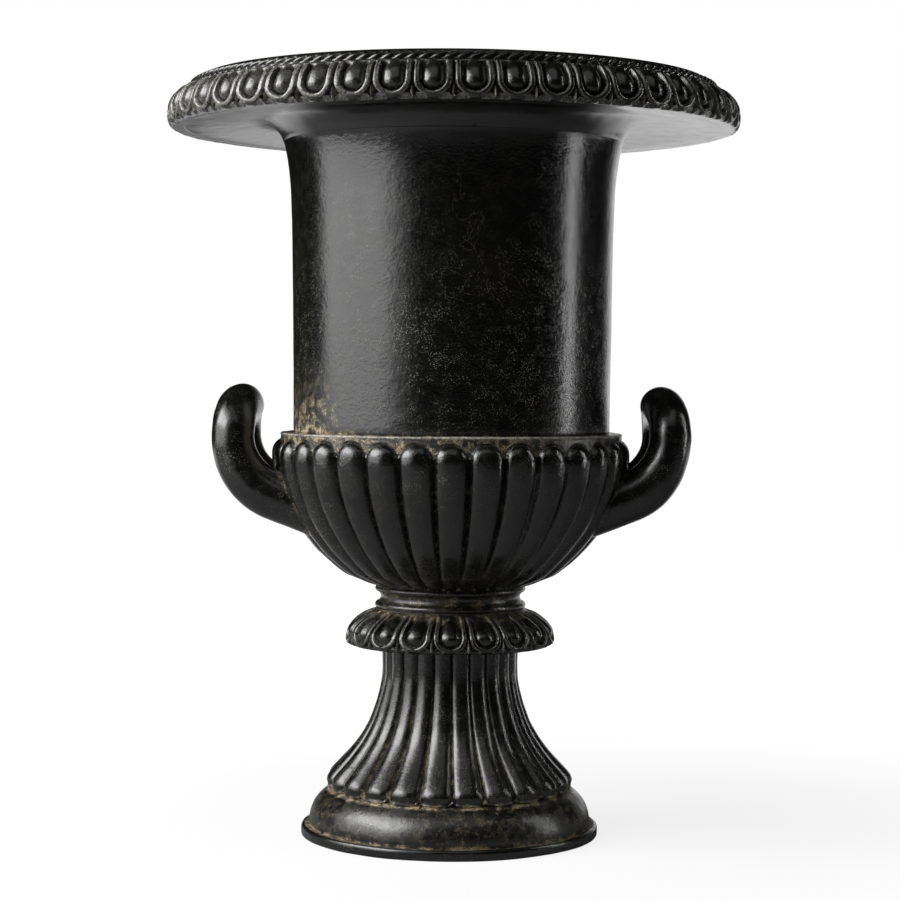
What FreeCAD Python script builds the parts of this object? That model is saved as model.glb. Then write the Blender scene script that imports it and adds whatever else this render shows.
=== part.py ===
import FreeCAD, Part
import math
import os

import Sketcher
from FreeCAD import Placement, Rotation, Vector

# Stone krater: a bell-shaped vase in turned and carved sections on one tie rod.
# Millimetres, +Z up, origin at the centre of the face that it rests on.

SIZES = [
    ("overrun", 5.0, "how far every cut runs past the face that it opens"),
    ("fit_gap", 0.3, "gap all round a spigot in its socket"),
    ("bed_thickness", 0.8, "setting bed between two stone sections"),
    ("bed_setback", 1.6, "how far a bed stays behind the face of the stone"),
    ("spigot_height", 4.0, "height of each locating spigot"),
    ("spigot_radius", 26.0, "radius of the spigots on stem, collar and neck"),
    ("rod_radius", 6.0, "tie rod, 12 mm thread"),
    ("rod_gap", 1.0, "gap between the rod and its bore in the stone"),
    ("rod_end", 3.0, "length of rod that stands out of each nut"),
    ("nut_radius", 10.97, "across corners of a 19 mm nut, halved"),
    ("nut_height", 10.0, "height of each nut"),
    ("washer_radius", 24.0, "radius of each washer"),
    ("washer_thickness", 3.0, "thickness of each washer"),
    ("plinth_radius", 99.2, "radius of the disc that the krater stands on"),
    ("plinth_edge_height", 9.3, "height of the edge of that disc"),
    ("plinth_edge_round", 1.6, "round on the upper arris of the disc"),
    ("torus_setback", 5.2, "how far the torus stands back from the edge of the disc"),
    ("torus_draw_in", 15.0, "how far the torus draws in from its foot to its top"),
    ("torus_swell", 4.4, "how far the torus swells past the straight line between them"),
    ("base_height", 31.0, "height of the disc and the torus together"),
    ("base_spigot_radius", 40.0, "radius of the spigot on the base"),
    ("recess_radius", 30.0, "radius of the recess for the lower nut"),
    ("rod_clearance", 2.0, "height of the lower end of the rod above the ground"),
    ("stem_height", 96.2, "height of the reeded stem"),
    ("reed_overhang", 3.4, "how far the reeds stand out over the top of the torus"),
    ("stem_waist_radius", 45.5, "narrowest radius over the reeds"),
    ("collar_height", 21.6, "height of the carved collar"),
    ("collar_radius", 70.6, "widest radius over the tongues"),
    ("collar_top_radius", 51.5, "radius of the collar under the neck"),
    ("tongue_depth", 2.8, "depth of the grooves between the tongues"),
    ("neck_height", 14.8, "height of the moulded neck"),
    ("neck_ring_radius", 50.4, "radius of the two rings of the neck"),
    ("neck_waist_radius", 46.5, "radius at the middle of the neck"),
    ("neck_ring_height", 4.0, "height of each ring of the neck"),
    ("neck_ring_round", 1.4, "round on the arrises of those rings, and depth of the hollow between"),
    ("bowl_foot_radius", 51.0, "radius of the bowl on the neck"),
    ("lobe_overhang", 6.0, "how far the lobes stand out past the ledge"),
    ("bowl_lobe_height", 97.7, "height of the lobed part of the bowl"),
    ("ledge_width", 8.5, "width of the ledge round the barrel"),
    ("ledge_height", 3.6, "height of the ledge above the lobes"),
    ("ledge_root", 14.0, "how far the ledge is carried down into the lobes"),
    ("bowl_floor", 24.0, "thickness of the floor of the bowl"),
    ("floor_radius", 34.0, "radius of the flat of that floor"),
    ("bowl_wall_height", 42.0, "straight wall inside the bowl, from its top"),
    ("bowl_hollow_swell", 8.5, "how far the round of the hollow inside the bowl swells"),
    ("barrel_wall", 14.5, "thickness of the barrel at its foot"),
    ("ring_spigot_wall", 6.0, "thickness of the ring spigots at both ends of the barrel"),
    ("barrel_height", 191.1, "height of the barrel"),
    ("barrel_foot_radius", 105.5, "radius of the barrel on the ledge"),
    ("barrel_widening", 1.6, "how much wider the barrel is where it starts to flare"),
    ("barrel_flare", 4.0, "how far the barrel flares from there to the rim"),
    ("barrel_flare_height", 45.0, "height of that flare"),
    ("barrel_flare_hollow", 1.0, "how far that flare is hollowed"),
    ("rim_height", 39.8, "height of the rim"),
    ("cove_width", 19.9, "width of the cove under the rim"),
    ("cove_height", 12.7, "height of the cove under the rim"),
    ("cove_hollow", 3.8, "how far the cove is hollowed"),
    ("soffit_setback", 10.5, "how far the underside of the rim stops behind the eggs"),
    ("soffit_drop", 6.4, "how far the underside falls from the cove to the eggs"),
    ("rim_radius", 190.5, "widest radius of the rim, over the eggs"),
    ("egg_depth", 2.6, "depth of the grooves between the eggs"),
    ("egg_band_height", 26.2, "height of the band of eggs"),
    ("egg_band_lean", 15.5, "how far the band of eggs leans in from its widest to its top"),
    ("egg_core_setback", 5.0, "how far the core of the rim lies behind the eggs"),
    ("egg_core_swell", 3.1, "how far that core swells behind the band of eggs"),
    ("egg_core_wall", 12.0, "thickness of the ring that carries the eggs"),
    ("rope_swell", 1.6, "how far the rope moulding above the eggs stands out"),
    ("rope_height", 4.6, "height of the rope moulding"),
    ("rope_setback", 2.5, "how far the rope moulding steps in at its foot and again at its top"),
    ("rim_arris", 2.0, "slope from the rope moulding in to the flat top of the rim"),
    ("rim_flat_width", 12.0, "width of the flat top of the rim"),
    ("mouth_swell", 9.7, "how far the flared mouth swells between that flat and the bore"),
    ("arm_offset", 28.3, "distance of each arm of a handle from the middle plane"),
    ("arm_stand_off", 23.7, "distance of the arms from the widest lobes of the bowl"),
    ("arm_radius", 13.9, "radius of the arms"),
    ("root_radius", 16.8, "radius of an arm at its root in the bowl"),
    ("arm_bend_radius", 42.0, "radius of the bend of an arm"),
    ("root_run", 55.0, "straight length of an arm before its bend, most of it inside the bowl"),
    ("arch_drop", 2.1, "how far below the ledge the arms turn into the arch"),
    ("arch_rise", 20.2, "rise of the arch between the arms"),
    ("arch_lean", 4.0, "how far the arch leans back to the barrel"),
    ("dowel_radius", 4.0, "radius of the dowels in the roots of the handles"),
    ("dowel_length", 34.0, "length of each dowel"),
    ("dowel_gap", 0.15, "gap all round a dowel in its hole"),
    ("dowel_inset", 27.0, "distance from the start of a root to its dowel"),
]

# Counts of the carved ornament and of the sections of a handle, and angles in degrees.
REED_COUNT = 23
REED_PHASE = 8.0
TONGUE_COUNT = 18
LOBE_COUNT = 32
EGG_COUNT = 48
ROOT_ANGLE = 25.0
ROOT_STEPS = 8
ARM_STEPS = 7
ARCH_STEPS = 6
FULL_TURN = 360.0

# Outlines of the carved sections, as shares: height, then radius, then depth of the grooves.
reed_outline_shares = [
    (0.0, 0.90, 0.6), (0.025, 0.985, 0.95), (0.055, 1.0, 1.0), (0.09, 0.97, 1.0),
    (0.15, 0.83, 0.95), (0.205, 0.685, 0.85), (0.265, 0.545, 0.78), (0.32, 0.435, 0.72),
    (0.37, 0.35, 0.68), (0.43, 0.263, 0.64), (0.485, 0.198, 0.60), (0.59, 0.105, 0.56),
    (0.70, 0.036, 0.54), (0.81, 0.003, 0.53), (1.0, 0.01, 0.53),
]
reed_depth_share = 0.052
tongue_outline_shares = [
    (0.0, 0.95, 0.8), (0.09, 1.0, 1.0), (0.24, 0.975, 1.0), (0.38, 0.92, 1.0),
    (0.51, 0.835, 0.9), (0.64, 0.70, 0.75), (0.77, 0.50, 0.55), (0.89, 0.26, 0.3), (1.0, 0.0, 0.12),
]
lobe_outline_shares = [
    (0.0, 0.0, 0.28), (0.022, 0.128, 0.36), (0.05, 0.213, 0.42), (0.078, 0.288, 0.48),
    (0.135, 0.398, 0.58), (0.19, 0.486, 0.66), (0.245, 0.567, 0.74), (0.30, 0.635, 0.80),
    (0.385, 0.73, 0.88), (0.495, 0.829, 0.95), (0.628, 0.913, 1.0), (0.772, 0.977, 1.0),
    (0.885, 1.0, 1.0), (0.945, 0.988, 0.9), (0.982, 0.955, 0.6), (1.0, 0.915, 0.15),
]
lobe_depth_share = 0.045
egg_outline_shares = [
    (0.0, 0.62, 0.3), (0.05, 0.86, 0.8), (0.17, 1.0, 1.0), (0.34, 0.975, 1.0),
    (0.52, 0.87, 1.0), (0.70, 0.67, 0.9), (0.86, 0.38, 0.6), (1.0, 0.0, 0.3),
]

doc = FreeCAD.newDocument("krater")
sheet = doc.addObject("Spreadsheet::Sheet", "Sizes")
for row, (alias, value, note) in enumerate(SIZES, start=1):
    sheet.set(f"A{row}", alias)
    sheet.set(f"B{row}", str(value))
    sheet.set(f"C{row}", note)
    sheet.setAlias(f"B{row}", alias)
doc.recompute()


class Size:
    """A length that carries its value and the formula that gives it in the sheet."""

    def __init__(self, value, text):
        self.value = value
        self.text = text

    def __add__(self, other):
        return Size(self.value + other.value, f"({self.text} + {other.text})")

    def __sub__(self, other):
        return Size(self.value - other.value, f"({self.text} - {other.text})")


def size(alias):
    return Size(float(sheet.get(alias)), f"Sizes.{alias}")


ZERO = Size(0.0, "0")
overrun = size("overrun")
fit_gap = size("fit_gap")
bed = size("bed_thickness")
spigot_height = size("spigot_height")
spigot_radius = size("spigot_radius")

# Radii that carry others, from the ground up.
plinth_radius = size("plinth_radius")
torus_foot_radius = plinth_radius - size("torus_setback")
torus_top_radius = torus_foot_radius - size("torus_draw_in")
stem_foot_radius = torus_top_radius + size("reed_overhang")
barrel_foot_radius = size("barrel_foot_radius")
barrel_shoulder_radius = barrel_foot_radius + size("barrel_widening")
barrel_top_radius = barrel_shoulder_radius + size("barrel_flare")
bore = barrel_foot_radius - size("barrel_wall")
ledge_radius = barrel_foot_radius + size("ledge_width")
bowl_radius = ledge_radius + size("lobe_overhang")
egg_band_top_radius = size("rim_radius") - size("egg_band_lean")

# Heights of the joints, from the ground up.
base_top = size("base_height")
stem_foot = base_top + bed
stem_top = stem_foot + size("stem_height")
collar_foot = stem_top + bed
collar_top = collar_foot + size("collar_height")
neck_foot = collar_top + bed
neck_top = neck_foot + size("neck_height")
bowl_foot = neck_top + bed
lobe_top = bowl_foot + size("bowl_lobe_height")
ledge_top = lobe_top + size("ledge_height")
barrel_foot = ledge_top + bed
barrel_top = barrel_foot + size("barrel_height")
rim_foot = barrel_top + bed
rim_top = rim_foot + size("rim_height")
floor_top = bowl_foot + size("bowl_floor")
recess_depth = size("washer_thickness") + size("nut_height") + size("rod_end") + size("rod_clearance")
ring_spigot_radius = bore + size("ring_spigot_wall")
rod_bore_radius = size("rod_radius") + size("rod_gap")
socket_height = spigot_height - bed + fit_gap

nodes = []


def keep(item, label):
    """Give a finished piece its own name and list it for export."""
    item.Label = label
    nodes.append(item)
    return item


def origin_plane(body, role):
    return next(f for f in body.Origin.OriginFeatures if f.Role == role)


def arc_radius(start, end, rise):
    """Radius of the arc that stands so far off the straight line between two places."""
    across = end[0] - start[0]
    up = end[1] - start[1]
    value = (across.value ** 2 + up.value ** 2) / (8 * rise.value) + rise.value / 2
    text = f"(({across.text} ^ 2 + {up.text} ^ 2) / (8 * {rise.text}) + {rise.text} / 2)"
    return Size(value, text)


def arc_between(start, end, radius, hollow):
    """Arc from start to end. Its middle lies to the right of that way, or to the left if hollow."""
    chord = end - start
    half = chord.Length / 2
    across = Vector(-chord.y, chord.x, 0).normalize() * (-1 if hollow else 1)
    centre = (start + end) / 2 + across * math.sqrt(radius ** 2 - half ** 2)
    first, last = (end, start) if hollow else (start, end)
    angles = [math.atan2(point.y - centre.y, point.x - centre.x) for point in (first, last)]
    if angles[1] < angles[0]:
        angles[1] += 2 * math.pi
    return Part.ArcOfCircle(Part.Circle(centre, Vector(0, 0, 1), radius), *angles)


def turned(label, outline):
    """Body turned round the Z axis from a closed outline of radii and heights.

    Each entry is a radius and a height. Where the edge that follows is an arc, it goes on with
    the arc's form: "round" and its radius, or "swell" or "hollow" and how far it stands off.
    """
    body = doc.addObject("PartDesign::Body", label)
    sketch = body.newObject("Sketcher::SketchObject", f"{label}_outline")
    sketch.AttachmentSupport = [(origin_plane(body, "XZ_Plane"), "")]
    sketch.MapMode = "FlatFace"
    count = len(outline)
    points = [Vector(entry[0].value, entry[1].value, 0) for entry in outline]
    radii = []
    ends = []
    for i, entry in enumerate(outline):
        start, end = points[i], points[(i + 1) % count]
        hollow = "hollow" in entry
        ends.append((2, 1) if hollow else (1, 2))
        if len(entry) == 2:
            radii.append(None)
            sketch.addGeometry(Part.LineSegment(start, end), False)
            continue
        radius = entry[3] if "round" in entry else arc_radius(entry, outline[(i + 1) % count], entry[3])
        radii.append(radius)
        sketch.addGeometry(arc_between(start, end, radius.value, hollow), False)
    for i, entry in enumerate(outline):
        following = (i + 1) % count
        sketch.addConstraint(
            Sketcher.Constraint("Coincident", i, ends[i][1], following, ends[following][0]))
        for kind, number in (("DistanceX", 0), ("DistanceY", 1)):
            bind(sketch, Sketcher.Constraint(
                kind, -1, 1, i, ends[i][0], entry[number].value), entry[number])
        if radii[i]:
            bind(sketch, Sketcher.Constraint("Radius", i, radii[i].value), radii[i])
    turn = body.newObject("PartDesign::Revolution", f"{label}_turned")
    turn.Profile = sketch
    turn.ReferenceAxis = (sketch, ["V_Axis"])
    turn.Angle = FULL_TURN
    body.Tip = turn
    return body


def bind(sketch, constraint, length):
    index = sketch.addConstraint(constraint)
    sketch.setExpression(f"Constraints[{index}]", length.text)


def cylinder(name, radius, foot, top):
    """Upright cylinder on the axis between two heights."""
    item = doc.addObject("Part::Cylinder", name)
    item.setExpression("Radius", radius.text)
    item.setExpression("Height", (top - foot).text)
    item.setExpression("Placement.Base.z", foot.text)
    return item


def cut(name, base, tool):
    item = doc.addObject("Part::Cut", name)
    item.Base = base
    item.Tool = tool
    return item


def fuse(name, shapes):
    item = doc.addObject("Part::MultiFuse", name)
    item.Shapes = shapes
    return item


def lobed_ring(count, crest, depth, height, phase):
    """Closed wire of equal round lobes that meet in sharp grooves."""
    step = 2 * math.pi / count
    arcs = []
    for i in range(count):
        middle = math.radians(phase) + i * step
        corners = []
        for radius, angle in (
                (crest - depth, middle - step / 2), (crest, middle), (crest - depth, middle + step / 2)):
            corners.append(Vector(radius * math.cos(angle), radius * math.sin(angle), height))
        arcs.append(Part.Arc(*corners).toShape())
    return Part.Wire(arcs)


def lobed(name, count, levels, phase):
    """Solid with carved lobes, lofted through rings of radius, groove depth and height."""
    rings = [lobed_ring(count, crest, depth, height, phase) for crest, depth, height in levels]
    item = doc.addObject("Part::Feature", name)
    item.Shape = Part.makeLoft(rings, True, False)
    return item


def bed_ring(label, inner, outer, foot):
    """Thin setting bed round a spigot."""
    hole = inner + fit_gap
    rim = outer - size("bed_setback")
    top = foot + bed
    return keep(turned(label, [(hole, foot), (rim, foot), (rim, top), (hole, top)]), label)


# Base: the disc and the torus in one turned piece, with a recess below for the lower nut.
edge_height = size("plinth_edge_height")
edge_round = size("plinth_edge_round")
base_spigot_top = base_top + spigot_height
keep(turned("base_plinth", [
    (size("recess_radius"), ZERO),
    (plinth_radius, ZERO),
    (plinth_radius, edge_height - edge_round, "round", edge_round),
    (plinth_radius - edge_round, edge_height),
    (torus_foot_radius, edge_height, "swell", size("torus_swell")),
    (torus_top_radius, base_top),
    (size("base_spigot_radius"), base_top),
    (size("base_spigot_radius"), base_spigot_top),
    (rod_bore_radius, base_spigot_top),
    (rod_bore_radius, recess_depth),
    (size("recess_radius"), recess_depth),
]), "base_plinth")
bed_ring("bed_base", size("base_spigot_radius"), torus_top_radius, base_top)

# Stem: reeds that flare from the waist to the foot.
waist = size("stem_waist_radius").value
flare = stem_foot_radius.value - waist
reed_levels = []
for rise_share, flare_share, depth_share in reed_outline_shares:
    crest = waist + flare * flare_share
    depth = stem_foot_radius.value * reed_depth_share * depth_share
    reed_levels.append((crest, depth, stem_foot.value + size("stem_height").value * rise_share))
reeds = lobed("stem_reeds", REED_COUNT, reed_levels, REED_PHASE)
stem_blank = fuse("stem_blank", [
    reeds, cylinder("stem_spigot", spigot_radius, stem_top - overrun, stem_top + spigot_height)])
stem_bores = fuse("stem_bores", [
    cylinder("stem_bore", rod_bore_radius, stem_foot - overrun, stem_top + spigot_height + overrun),
    cylinder("stem_socket", size("base_spigot_radius") + fit_gap,
             stem_foot - overrun, stem_foot + socket_height)])
keep(cut("stem", stem_blank, stem_bores), "reeded_stem")
bed_ring("bed_stem", spigot_radius, size("stem_waist_radius"), stem_top)

# Collar: a ring of carved tongues over the stem.
collar_top_radius = size("collar_top_radius").value
collar_swell = size("collar_radius").value - collar_top_radius
tongue_levels = []
for rise_share, swell_share, depth_share in tongue_outline_shares:
    crest = collar_top_radius + collar_swell * swell_share
    depth = size("tongue_depth").value * depth_share
    tongue_levels.append((crest, depth, collar_foot.value + size("collar_height").value * rise_share))
tongues = lobed("collar_tongues", TONGUE_COUNT, tongue_levels, FULL_TURN / 4)
collar_blank = fuse("collar_blank", [
    tongues, cylinder("collar_spigot", spigot_radius, collar_top - overrun, collar_top + spigot_height)])
collar_bores = fuse("collar_bores", [
    cylinder("collar_bore", rod_bore_radius, collar_foot - overrun, collar_top + spigot_height + overrun),
    cylinder("collar_socket", spigot_radius + fit_gap, collar_foot - overrun, collar_foot + socket_height)])
keep(cut("collar", collar_blank, collar_bores), "egg_collar")
bed_ring("bed_collar", spigot_radius, size("neck_waist_radius"), collar_top)

# Neck: two rings with a hollow between them.
ring_radius = size("neck_ring_radius")
ring_height = size("neck_ring_height")
ring_round = size("neck_ring_round")
hollow_foot = neck_foot + ring_height
hollow_top = neck_top - ring_height
hollow_radius = size("neck_waist_radius") + ring_round
keep(turned("neck_ring", [
    (spigot_radius + fit_gap, neck_foot),
    (ring_radius - ring_round, neck_foot, "round", ring_round),
    (ring_radius, neck_foot + ring_round),
    (ring_radius, hollow_foot - ring_round, "round", ring_round),
    (ring_radius - ring_round, hollow_foot),
    (hollow_radius, hollow_foot, "hollow", ring_round),
    (hollow_radius, hollow_top),
    (ring_radius - ring_round, hollow_top, "round", ring_round),
    (ring_radius, hollow_top + ring_round),
    (ring_radius, neck_top),
    (spigot_radius, neck_top),
    (spigot_radius, neck_top + spigot_height),
    (rod_bore_radius, neck_top + spigot_height),
    (rod_bore_radius, neck_foot + socket_height),
    (spigot_radius + fit_gap, neck_foot + socket_height),
]), "neck_ring")
bed_ring("bed_neck", spigot_radius, size("neck_ring_radius"), neck_top)

# Bowl: lobes outside, a round hollow inside, and a ledge with a ring spigot for the barrel.
bowl_foot_radius = size("bowl_foot_radius").value
bowl_swell = bowl_radius.value - bowl_foot_radius
lobe_levels = []
for rise_share, swell_share, depth_share in lobe_outline_shares:
    crest = bowl_foot_radius + bowl_swell * swell_share
    depth = bowl_radius.value * lobe_depth_share * depth_share
    lobe_levels.append((crest, depth, bowl_foot.value + size("bowl_lobe_height").value * rise_share))
lobes = lobed("bowl_lobes", LOBE_COUNT, lobe_levels, FULL_TURN / 4)
ledge = cylinder("bowl_ledge", ledge_radius, lobe_top - size("ledge_root"), ledge_top)
bowl_outside = fuse("bowl_outside", [lobes, ledge])
bowl_blank = fuse("bowl_blank", [bowl_outside, cylinder(
    "bowl_spigot", ring_spigot_radius, ledge_top - overrun, ledge_top + spigot_height)])
wall_foot = ledge_top - size("bowl_wall_height")
bowl_hollow = turned("bowl_hollow", [
    (ZERO, floor_top),
    (size("floor_radius"), floor_top, "swell", size("bowl_hollow_swell")),
    (bore, wall_foot),
    (bore, ledge_top + spigot_height + overrun),
    (ZERO, ledge_top + spigot_height + overrun),
])
bowl_bores = fuse("bowl_bores", [
    cylinder("bowl_bore", rod_bore_radius, bowl_foot - overrun, floor_top + overrun),
    cylinder("bowl_socket", spigot_radius + fit_gap, bowl_foot - overrun, bowl_foot + socket_height)])

# Handles: two arms from the bowl that turn up and join in an arch.
arm_offset = size("arm_offset").value
arm_reach = bowl_radius.value + size("arm_stand_off").value
arch_foot = ledge_top.value - size("arch_drop").value
arm_bend = size("arm_bend_radius").value
root_angle = math.radians(ROOT_ANGLE)
bend_start = Vector(
    arm_reach - arm_bend * (1 - math.sin(root_angle)),
    0,
    arch_foot - arm_bend * math.cos(root_angle))
root_way = Vector(math.cos(root_angle), 0, math.sin(root_angle))
root_start = bend_start - root_way * size("root_run").value


def arm_section(centre, way, radius):
    """Circle across the arm, turned so that its first point is always on the outer side."""
    outward = Vector(1, 0, 0)
    outward = (outward - way * outward.dot(way)).normalize()
    circle = Part.Circle(Vector(0, 0, 0), Vector(0, 0, 1), radius)
    wire = Part.Wire([circle.toShape()])
    wire.Placement = Placement(centre, Rotation(outward, way.cross(outward), way, "ZXY"))
    return wire


def half_handle():
    """Sections of one arm from its root to just before the crown of the arch."""
    root_radius = size("root_radius").value
    arm_radius = size("arm_radius").value
    sections = []
    for i in range(ROOT_STEPS + 1):
        run = size("root_run").value * (1 - i / ROOT_STEPS)
        sections.append((bend_start - root_way * run, root_way, root_radius))
    for i in range(1, ARM_STEPS + 1):
        passed_share = i / ARM_STEPS
        angle = root_angle + (math.pi / 2 - root_angle) * passed_share
        centre = bend_start + Vector(
            arm_bend * (math.sin(angle) - math.sin(root_angle)),
            0,
            arm_bend * (math.cos(root_angle) - math.cos(angle)))
        taper_share = passed_share ** 2 * (3 - 2 * passed_share)
        radius = root_radius + (arm_radius - root_radius) * taper_share
        sections.append((centre, Vector(math.cos(angle), 0, math.sin(angle)), radius))
    for section in sections:
        section[0].y = -arm_offset
    for i in range(1, ARCH_STEPS + 1):
        angle = math.pi / 2 * i / ARCH_STEPS
        lean = size("arch_lean").value
        rise = size("arch_rise").value
        centre = Vector(
            arm_reach - lean * (1 - math.cos(angle)),
            -arm_offset * math.cos(angle),
            arch_foot + rise * math.sin(angle))
        way = Vector(-lean * math.sin(angle), arm_offset * math.sin(angle), rise * math.cos(angle))
        sections.append((centre, way.normalize(), arm_radius))
    return sections


def handle(label, turn, dowel_holes):
    """Handle with both roots cut to the lobes that they stand on."""
    near = half_handle()
    far = []
    for centre, way, radius in reversed(near[:-1]):
        far.append((Vector(centre.x, -centre.y, centre.z), Vector(-way.x, way.y, -way.z), radius))
    blank = doc.addObject("Part::Feature", f"{label}_blank")
    blank.Shape = Part.makeLoft([arm_section(*section) for section in near + far], True, False)
    blank.Placement = Placement(Vector(0, 0, 0), Rotation(Vector(0, 0, 1), turn))
    seated = cut(f"{label}_seated", blank, lobes)
    return keep(cut(f"{label}_drilled", seated, dowel_holes), label)


def dowels(name, radius, end_gap):
    """Four short pins, one through the face of each root."""
    item = doc.addObject("Part::Feature", name)
    start = root_start + root_way * (size("dowel_inset").value - end_gap)
    length = size("dowel_length").value + 2 * end_gap
    pins = []
    for turn in (0, FULL_TURN / 2):
        for side in (-1, 1):
            foot = Vector(start.x, side * arm_offset, start.z)
            pin = Part.makeCylinder(radius, length, foot, root_way)
            pin.rotate(Vector(0, 0, 0), Vector(0, 0, 1), turn)
            pins.append(pin)
    item.Shape = Part.makeCompound(pins)
    return item


dowel_radius = size("dowel_radius").value
dowel_gap = size("dowel_gap").value
keep(dowels("dowels", dowel_radius, 0), "handle_dowels")
dowel_holes = dowels("dowel_holes", dowel_radius + dowel_gap, dowel_gap)
bowl_hollowed = cut("bowl_hollowed", bowl_blank, bowl_hollow)
bowl_bored = cut("bowl_bored", bowl_hollowed, bowl_bores)
keep(cut("bowl", bowl_bored, dowel_holes), "gadrooned_bowl")
handle("handle_right", 0, dowel_holes)
handle("handle_left", FULL_TURN / 2, dowel_holes)
bed_ring("bed_bowl", ring_spigot_radius, barrel_foot_radius, ledge_top)

# Barrel: a tube that flares a little under the rim, with a ring spigot at its top.
ring_socket_radius = ring_spigot_radius + fit_gap
keep(turned("barrel", [
    (ring_socket_radius, barrel_foot),
    (barrel_foot_radius, barrel_foot),
    (barrel_shoulder_radius, barrel_top - size("barrel_flare_height"),
     "hollow", size("barrel_flare_hollow")),
    (barrel_top_radius, barrel_top),
    (ring_spigot_radius, barrel_top),
    (ring_spigot_radius, barrel_top + spigot_height),
    (bore, barrel_top + spigot_height),
    (bore, barrel_foot + socket_height),
    (ring_socket_radius, barrel_foot + socket_height),
]), "barrel")
bed_ring("bed_barrel", ring_spigot_radius, barrel_top_radius, barrel_top)

# Rim: a flared lip with a cove below, and a band of eggs under a rope moulding outside.
cove_top = rim_foot + size("cove_height")
soffit = cove_top - size("soffit_drop")
band_top = soffit + size("egg_band_height")
core_radius = size("rim_radius") - size("egg_core_setback")
rope_foot = band_top
rope_top = band_top + size("rope_height")
rope_foot_radius = egg_band_top_radius - size("rope_setback")
rope_top_radius = rope_foot_radius - size("rope_setback")
rim_top_radius = rope_top_radius - size("rim_arris")
rim_core = turned("rim_core", [
    (ring_socket_radius, rim_foot),
    (barrel_top_radius, rim_foot, "hollow", size("cove_hollow")),
    (barrel_top_radius + size("cove_width"), cove_top),
    (size("rim_radius") - size("soffit_setback"), soffit),
    (core_radius, soffit + size("egg_core_setback"), "swell", size("egg_core_swell")),
    (rope_foot_radius, rope_foot, "swell", size("rope_swell")),
    (rope_top_radius, rope_top),
    (rim_top_radius, rim_top),
    (rim_top_radius - size("rim_flat_width"), rim_top, "swell", size("mouth_swell")),
    (bore, rim_foot + socket_height),
    (ring_socket_radius, rim_foot + socket_height),
])
egg_swell = size("egg_band_lean").value
egg_levels = []
for rise_share, swell_share, depth_share in egg_outline_shares:
    crest = egg_band_top_radius.value + egg_swell * swell_share
    depth = size("egg_depth").value * depth_share
    egg_levels.append((crest, depth, soffit.value + size("egg_band_height").value * rise_share))
egg_disc = lobed("rim_egg_disc", EGG_COUNT, egg_levels, FULL_TURN / 4 + FULL_TURN / EGG_COUNT / 2)
egg_ring = cut("rim_egg_ring", egg_disc, cylinder(
    "rim_egg_core", egg_band_top_radius - size("egg_core_wall"), soffit - overrun, rim_top))
keep(fuse("rim", [rim_core, egg_ring]), "rim")

# Tie rod with a washer and a nut at each end.
lower_nut_top = recess_depth - size("washer_thickness")
lower_nut_foot = lower_nut_top - size("nut_height")
upper_washer_top = floor_top + size("washer_thickness")
upper_nut_top = upper_washer_top + size("nut_height")
keep(cylinder("rod", size("rod_radius"), lower_nut_foot - size("rod_end"),
              upper_nut_top + size("rod_end")), "tie_rod")


def washer(label, foot):
    hole = size("rod_radius") + fit_gap
    edge = size("washer_radius")
    top = foot + size("washer_thickness")
    return keep(turned(label, [(hole, foot), (edge, foot), (edge, top), (hole, top)]), label)


def nut(label, foot):
    prism = doc.addObject("Part::Prism", f"{label}_prism")
    prism.Polygon = 6
    prism.setExpression("Circumradius", size("nut_radius").text)
    prism.setExpression("Height", size("nut_height").text)
    prism.setExpression("Placement.Base.z", foot.text)
    hole = cylinder(f"{label}_hole", size("rod_radius"), foot - overrun,
                    foot + size("nut_height") + overrun)
    return keep(cut(f"{label}_cut", prism, hole), label)


washer("washer_lower", lower_nut_top)
nut("nut_lower", lower_nut_foot)
washer("washer_upper", floor_top)
nut("nut_upper", upper_washer_top)

doc.recompute()
for item in doc.Objects:
    if "Invalid" in item.State or "Error" in item.State:
        raise RuntimeError(f"{item.Name} failed: {item.State}")
for item in nodes:
    if item.Shape.isNull() or not item.Shape.isValid():
        raise RuntimeError(f"{item.Label} has no valid shape")

os.makedirs("parts", exist_ok=True)
for item in nodes:
    item.Shape.exportStep(f"parts/{item.Label}.step")
    box = item.Shape.BoundBox
    print(f"{item.Label}: {len(item.Shape.Solids)} solid, {item.Shape.Volume / 1000:.1f} cm3, "
          f"z {box.ZMin:.1f} to {box.ZMax:.1f}, x {box.XMin:.1f} to {box.XMax:.1f}")
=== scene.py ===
import math
from dataclasses import dataclass

import bpy
import numpy as np
from mathutils import Matrix, Vector


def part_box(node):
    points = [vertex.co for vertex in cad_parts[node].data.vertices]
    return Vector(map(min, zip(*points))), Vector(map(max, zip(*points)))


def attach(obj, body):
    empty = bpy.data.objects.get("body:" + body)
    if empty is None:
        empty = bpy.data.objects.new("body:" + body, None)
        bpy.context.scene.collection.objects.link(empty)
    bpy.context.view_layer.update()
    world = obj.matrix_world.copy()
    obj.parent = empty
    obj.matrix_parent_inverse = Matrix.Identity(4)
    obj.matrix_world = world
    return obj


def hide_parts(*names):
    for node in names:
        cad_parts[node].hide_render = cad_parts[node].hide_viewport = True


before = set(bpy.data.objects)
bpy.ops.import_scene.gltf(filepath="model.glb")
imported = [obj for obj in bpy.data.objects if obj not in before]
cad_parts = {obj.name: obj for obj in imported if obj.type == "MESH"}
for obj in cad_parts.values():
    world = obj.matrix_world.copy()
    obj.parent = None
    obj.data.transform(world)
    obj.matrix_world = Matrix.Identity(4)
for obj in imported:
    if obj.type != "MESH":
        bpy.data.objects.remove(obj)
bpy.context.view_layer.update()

# The mesh code below works in millimetres, and every mesh is made in metres.
METRE = 0.001
FULL_TURN = 2 * math.pi
random = np.random.default_rng(41)


def foot_of(node):
    """Lowest height of a node of the frame, in mm."""
    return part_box(node)[0].z / METRE


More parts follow.
